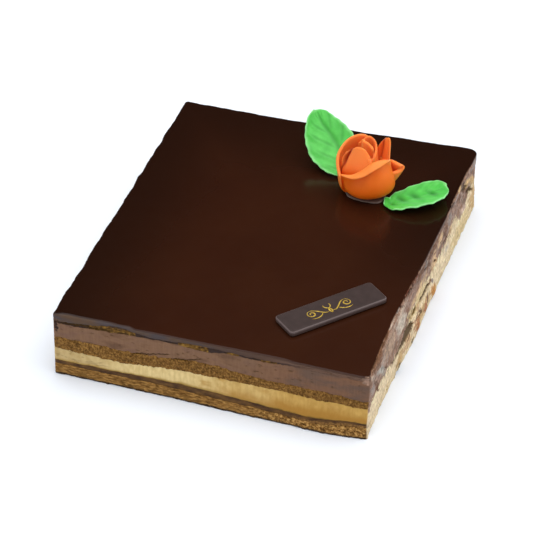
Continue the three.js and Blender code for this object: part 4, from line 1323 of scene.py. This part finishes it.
def vein_share(press, across, s):
    """How deep in a pressed vein or a dimple a place of the leaf is, from 0 to 1."""
    aside = abs(across)
    side = abs(math.sin(math.pi * (0.5 * LEAF_TEETH * s - VEIN_SLANT * aside)))
    branch = math.exp(-(side / VEIN_SPREAD) ** 2)
    branch *= float(smoothstep(0.05, 0.25, aside) * smoothstep(1.0, 0.7, aside))
    middle = math.exp(-0.5 * (across / MIDRIB_SPREAD) ** 2)
    share = press.veins * max(0.5 * branch, 0.8 * middle)
    share *= float(smoothstep(0, 0.06, s) * smoothstep(1, 0.85, s))
    for along, shift, depth in press.dimples:
        slanted = s - along + DIMPLE_SLANT * (across - shift)
        near = bell(slanted, DIMPLE_SPREAD_ALONG) * bell(across - shift, DIMPLE_SPREAD_ACROSS)
        share = max(share, depth * float(near))
    return share


def leaf_surface(leaf):
    press = PRESSES[leaf.name]

    def surface(u, s):
        across = 1 - 2 * u
        v = s - LEAF_CROWDING * math.sin(2 * math.pi * s)
        shape_place = LEAF_END + (1 - 2 * LEAF_END) * v
        plump = (1 - abs(1 - 2 * shape_place ** leaf.fullness) ** leaf.bluntness) ** leaf.taper
        tooth = TOOTH_DEPTH * (2 * abs((s * LEAF_TEETH) % 1 - 0.5) - 0.5)
        fade = min(1, 5 * s * (1 - s))
        half = 0.5 * leaf.width * plump + tooth * fade
        for along, side, depth in press.notches:
            half -= depth * float(bell(s - along, NOTCH_SPREAD)) * max(side * across, 0) ** 2
        aside = across + press.bend * math.sin(math.pi * s)
        vein_wave = math.cos(2 * math.pi * (0.5 * LEAF_TEETH * s - VEIN_SLANT * abs(aside)))
        midrib = 1.3 * press.veins * bell(aside, 0.14)
        groove = VEIN_DEPTH * fade * (0.7 * vein_wave * min(abs(aside), 1) - midrib)
        groove -= DENT_DEPTH * vein_share(press, aside, s)
        height = groove + leaf.cup * across ** 2 * min(1, 2 * plump) - leaf.sag * 4 * v * (1 - v)
        height += leaf.wave * math.sin(2 * math.pi * v + 2) * across ** 3
        sideways = across * half + press.tip * float(smoothstep(0.7, 1, s))
        return Vector((v * leaf.length, sideways, height))

    return surface


def leaf_thickness(u, v):
    edge_nearness = max(abs(2 * u - 1) ** 4, (2 * v - 1) ** 8)
    return LEAF_THICKNESS * (1 - 0.35 * edge_nearness)


def leaf_piece(leaf, material):
    vertices, faces, places = shell(leaf_surface(leaf), leaf_thickness, LEAF_STEPS_ACROSS, LEAF_STEPS_ALONG)
    turned = (Matrix.Rotation(math.radians(leaf.turn), 3, "Z")
              @ Matrix.Rotation(math.radians(-leaf.pitch), 3, "Y")
              @ Matrix.Rotation(math.radians(leaf.roll), 3, "X"))
    centre = Vector((leaf.x, leaf.y, CAKE_HEIGHT + leaf.lift))
    points = [turned @ vertex + centre for vertex in vertices]
    press = PRESSES[leaf.name]
    across = np.array([1 - 2 * u for u, _ in places])
    along = np.array([s for _, s in places])
    bends = press.bend * np.sin(np.pi * along)
    # Fields for the painted shade in the veins and dimples, and for the painted highlight at the rim.
    veins = [vein_share(press, place, s) for place, s in zip(across + bends, along)]
    rims = np.maximum(smoothstep(0.86, 1, np.abs(across)), smoothstep(0.95, 1, along))
    fields = {"vein": veins, "rim": rims}
    name = leaf.name + "_pressed"
    soften_mesh(make_piece(name, points, faces, material, [leaf.name], fields))


# ---- Plaque ----
PLAQUE_LENGTH, PLAQUE_WIDTH, PLAQUE_THICKNESS, PLAQUE_BEVEL, PLAQUE_CORNER = 55, 16, 2.9, 0.7, 1.3
PLAQUE_X, PLAQUE_Y, PLAQUE_TURN = 48.1, -57.5, 48.9
PLAQUE_GAP, PLAQUE_BEVEL_STEPS = 0.3, 6
PLAQUE_FACE_RINGS = [(1.4, 0), (3, 0)]  # how far in, and how high over the face
PLAQUE_TOP = CAKE_HEIGHT + PLAQUE_GAP + PLAQUE_THICKNESS


def rounded_rectangle(half_length, half_width, corner):
    """Points round a rectangle with rounded corners, always the same number of them."""
    corners = [(1, 1), (-1, 1), (-1, -1), (1, -1)]
    counts = [36, 12, 36, 12]  # steps along each side, the long ones first
    turns = np.radians(np.linspace(0, 90, 9))
    arcs = []
    for index, (sign_x, sign_y) in enumerate(corners):
        centre = np.array([sign_x * (half_length - corner), sign_y * (half_width - corner)])
        turn = turns + math.radians(90 * index)
        arcs.append(centre + corner * np.stack([np.cos(turn), np.sin(turn)], 1))
    ring = []
    for index, arc in enumerate(arcs):
        end = arcs[(index + 1) % 4][0]
        share = np.arange(1, counts[index])[:, None] / counts[index]
        ring += [arc, arc[-1] + (end - arc[-1]) * share]
    return np.vstack(ring)


def plaque_to_cake(x, y, z):
    """From the plaque's own frame, with z over its top face, to the cake's."""
    turned = Matrix.Rotation(math.radians(PLAQUE_TURN), 3, "Z") @ Vector((x, y, z))
    return turned + Vector((PLAQUE_X, PLAQUE_Y, PLAQUE_TOP))


def plaque_piece(material):
    steps = [math.pi / 2 * k / PLAQUE_BEVEL_STEPS for k in range(PLAQUE_BEVEL_STEPS + 1)]
    bevel = [(PLAQUE_BEVEL * (1 - math.sin(a)), PLAQUE_BEVEL * (1 - math.cos(a))) for a in steps]
    lower = [(inset, rise - PLAQUE_THICKNESS) for inset, rise in bevel]
    upper = [(rise, -inset) for inset, rise in bevel]
    profile = lower + upper + PLAQUE_FACE_RINGS
    rings = []
    for inset, height in profile:
        corner = max(PLAQUE_CORNER + PLAQUE_BEVEL - inset, 0.3)
        ring = rounded_rectangle(PLAQUE_LENGTH / 2 - inset, PLAQUE_WIDTH / 2 - inset, corner)
        rings.append([plaque_to_cake(x, y, height) for x, y in ring])
    vertices, faces = loft(rings, plaque_to_cake(0, 0, -PLAQUE_THICKNESS), plaque_to_cake(0, 0, 0))
    make_piece("plaque_moulded", vertices, faces, material, ["plaque"])


# ---- The plaque's gold ornament: curves as Bezier points (x, y), mirrored, each with its half width ----
ORNAMENT_X, ORNAMENT_Y, ORNAMENT_SIZE = -1.5, -0.5, 1.1
ORNAMENT_THICKNESS = 0.16
CURL_X, CURL_Y, CURL_RADIUS, CURL_TURNS, CURL_CLOSING = 8.9, 0.2, 2.3, 1.35, 0.78
CURL_HALF_WIDTH = 0.36
ORNAMENT_STEMS = [
    ([(0.9, -1.6), (3.6, -3.4), (5.6, 2.5), (8.9, 2.5)], 0.36),
    ([(3.9, -0.9), (5.2, -3.4), (8.2, -4.0), (10.6, -2.9)], 0.3),
    ([(0, 0.2), (1.4, 1.0), (2.2, 2.4), (1.3, 3.2)], 0.32),
    ([(0, -3.2), (0.7, -2.0), (0.7, -0.6), (0, 0.6)], 0.4),
]


def bezier(points, count):
    t = np.linspace(0, 1, count)[:, None]
    a, b, c, d = (np.array(point, float) for point in points)
    return (1 - t) ** 3 * a + 3 * (1 - t) ** 2 * t * b + 3 * (1 - t) * t * t * c + t ** 3 * d


def curl(count):
    share = np.linspace(0, 1, count)
    turn = math.pi / 2 - 2 * math.pi * CURL_TURNS * share
    radius = CURL_RADIUS * (1 - CURL_CLOSING * share)
    return np.stack([CURL_X + radius * np.cos(turn), CURL_Y + radius * np.sin(turn)], 1)


def ribbon(path, half_width):
    """A low rounded ribbon along a path, pointed at both ends, in the plaque's frame."""
    tangent = np.gradient(path, axis=0)
    tangent /= np.linalg.norm(tangent, axis=1)[:, None]
    aside = np.stack([-tangent[:, 1], tangent[:, 0]], 1)
    share = np.linspace(0, 1, len(path))[:, None]
    width = half_width * (0.12 + 0.88 * np.sin(math.pi * share) ** 0.6)
    section = [(-1, -0.3), (-0.95, 0.4), (-0.5, 0.9), (0, 1), (0.5, 0.9), (0.95, 0.4), (1, -0.3)]
    rings = []
    for point, out, half in zip(path, aside, width[:, 0]):
        rings.append([(*(point + out * across * half), up * ORNAMENT_THICKNESS) for across, up in section])
    return loft(rings, rings[0][3], rings[-1][3])


def ornament_piece(material):
    paths = [(bezier(points, 30), half) for points, half in ORNAMENT_STEMS]
    paths.append((curl(60), CURL_HALF_WIDTH))
    vertices, faces = [], []
    for mirror in (1, -1):
        for path, half in paths:
            points, quads = ribbon(path * (mirror * ORNAMENT_SIZE, ORNAMENT_SIZE), half)
            faces += [[corner + len(vertices) for corner in quad] for quad in quads]
            vertices += [plaque_to_cake(x + ORNAMENT_X, y + ORNAMENT_Y, z) for x, y, z in points]
    make_piece("plaque_ornament", vertices, faces, material)


# ---- Floor, light and camera ----
FLOOR_HALF = 6                    # metres
FLOOR_GLOW, FLOOR_GLOW_STRENGTH = (0.88, 0.92, 1.0, 1.0), 0.03
HORIZON_COLOUR, HORIZON_HEIGHT = (0.95, 0.97, 1.0, 1), 0.16
SKY_COLOUR, SKY_HEIGHT = (0.018, 0.013, 0.011, 1), 0.42


def make_floor():
    mesh = bpy.data.meshes.new("floor")
    corners = [(-1, -1), (1, -1), (1, 1), (-1, 1)]
    mesh.from_pydata([(x * FLOOR_HALF, y * FLOOR_HALF, 0) for x, y in corners], [], [(0, 1, 2, 3)])
    shader = Shader("floor_look", 0.9, 0.1)
    colour = shader.ramp(shader.noise(400, 2), (0.3, (236, 242, 252)), (0.7, (239, 245, 253)))
    shader.surface.inputs["Emission Color"].default_value = FLOOR_GLOW
    shader.surface.inputs["Emission Strength"].default_value = FLOOR_GLOW_STRENGTH
    mesh.materials.append(shader.finish(colour))
    floor = add_object("floor", mesh)


# Name, direction that the light comes from, strength and angle across the sun.
LIGHTS = [
    ("key_light", (0.1, 0.15, 1), 2.9, 80),
    ("side_light", (1, 0.15, 0.55), 0.5, 60),
    ("fill_light", (-0.5, -0.8, 0.9), 1.0, 90),
]


def make_sun(name, direction, strength, angle):
    light = bpy.data.lights.new(name, "SUN")
    light.energy = strength
    light.angle = math.radians(angle)
    lamp = add_object(name, light)
    lamp.rotation_euler = Vector(direction).to_track_quat("Z", "Y").to_euler()


def make_world():
    """A pale horizon under a dark sky, so that the glaze mirrors the dark."""
    world = bpy.data.worlds.new("studio")
    bpy.context.scene.world = world
    world.use_nodes = True
    tree = world.node_tree
    direction = tree.nodes.new("ShaderNodeTexCoord").outputs["Generated"]
    parts = tree.nodes.new("ShaderNodeSeparateXYZ")
    tree.links.new(direction, parts.inputs[0])
    ramp = tree.nodes.new("ShaderNodeValToRGB")
    horizon, sky = ramp.color_ramp.elements
    horizon.position, horizon.color = HORIZON_HEIGHT, HORIZON_COLOUR
    sky.position, sky.color = SKY_HEIGHT, SKY_COLOUR
    tree.links.new(parts.outputs["Z"], ramp.inputs["Fac"])
    tree.links.new(ramp.outputs["Color"], tree.nodes["Background"].inputs["Color"])


CAMERA_AZIMUTH, CAMERA_ELEVATION, CAMERA_ROLL = 17.494, 36.046, 0.2546
CAMERA_TARGET = Vector((1.838, -9.756, 17.816))
CAMERA_DISTANCE = 1534.39
CAMERA_LENS, CAMERA_SENSOR = 203.05, 36
CAMERA_CLIP_START = 0.05          # metres


def make_camera():
    azimuth, elevation = math.radians(CAMERA_AZIMUTH), math.radians(CAMERA_ELEVATION)
    back = Vector((math.sin(azimuth) * math.cos(elevation), -math.cos(azimuth) * math.cos(elevation),
                   math.sin(elevation)))
    turn = back.to_track_quat("Z", "Y").to_matrix() @ Matrix.Rotation(math.radians(CAMERA_ROLL), 3, "Z")
    camera = add_object("camera", bpy.data.cameras.new("camera"))
    camera.data.lens = CAMERA_LENS
    camera.data.sensor_width = CAMERA_SENSOR
    camera.data.clip_start = CAMERA_CLIP_START
    camera.matrix_world = Matrix.Translation((CAMERA_TARGET + back * CAMERA_DISTANCE) * MM) @ turn.to_4x4()
    bpy.context.scene.camera = camera


# ---- The whole scene ----
def add_layers():
    looks = {
        "sponge_bottom": (bottom_sponge_material(), "sponge"),
        "chocolate_layer": (chocolate_line_material(), "dark_chocolate"),
        "coffee_buttercream": (buttercream_material(), "buttercream"),
        "sponge_middle": (middle_sponge_material(), "sponge"),
        "ganache": (ganache_material(), "ganache"),
        "sponge_top": (top_sponge_material(), "sponge"),
    }
    for layer in LAYERS:
        material, slot = looks[layer.name]
        layer_piece(layer, material)
    glaze_piece(glaze_material())


def add_rose():
    marzipan = rose_material()
    dab_piece(dab_material())
    heart_piece(marzipan)
    for petal in PETALS:
        petal_piece(petal, marzipan)


add_layers()
plaque_piece(plaque_material())
ornament_piece(gold_material())
add_rose()
leaf_look = leaf_material()
for leaf in LEAVES:
    leaf_piece(leaf, leaf_look)
make_floor()
make_world()
for light in LIGHTS:
    make_sun(*light)
make_camera()
bpy.context.scene.view_settings.view_transform = "Standard"
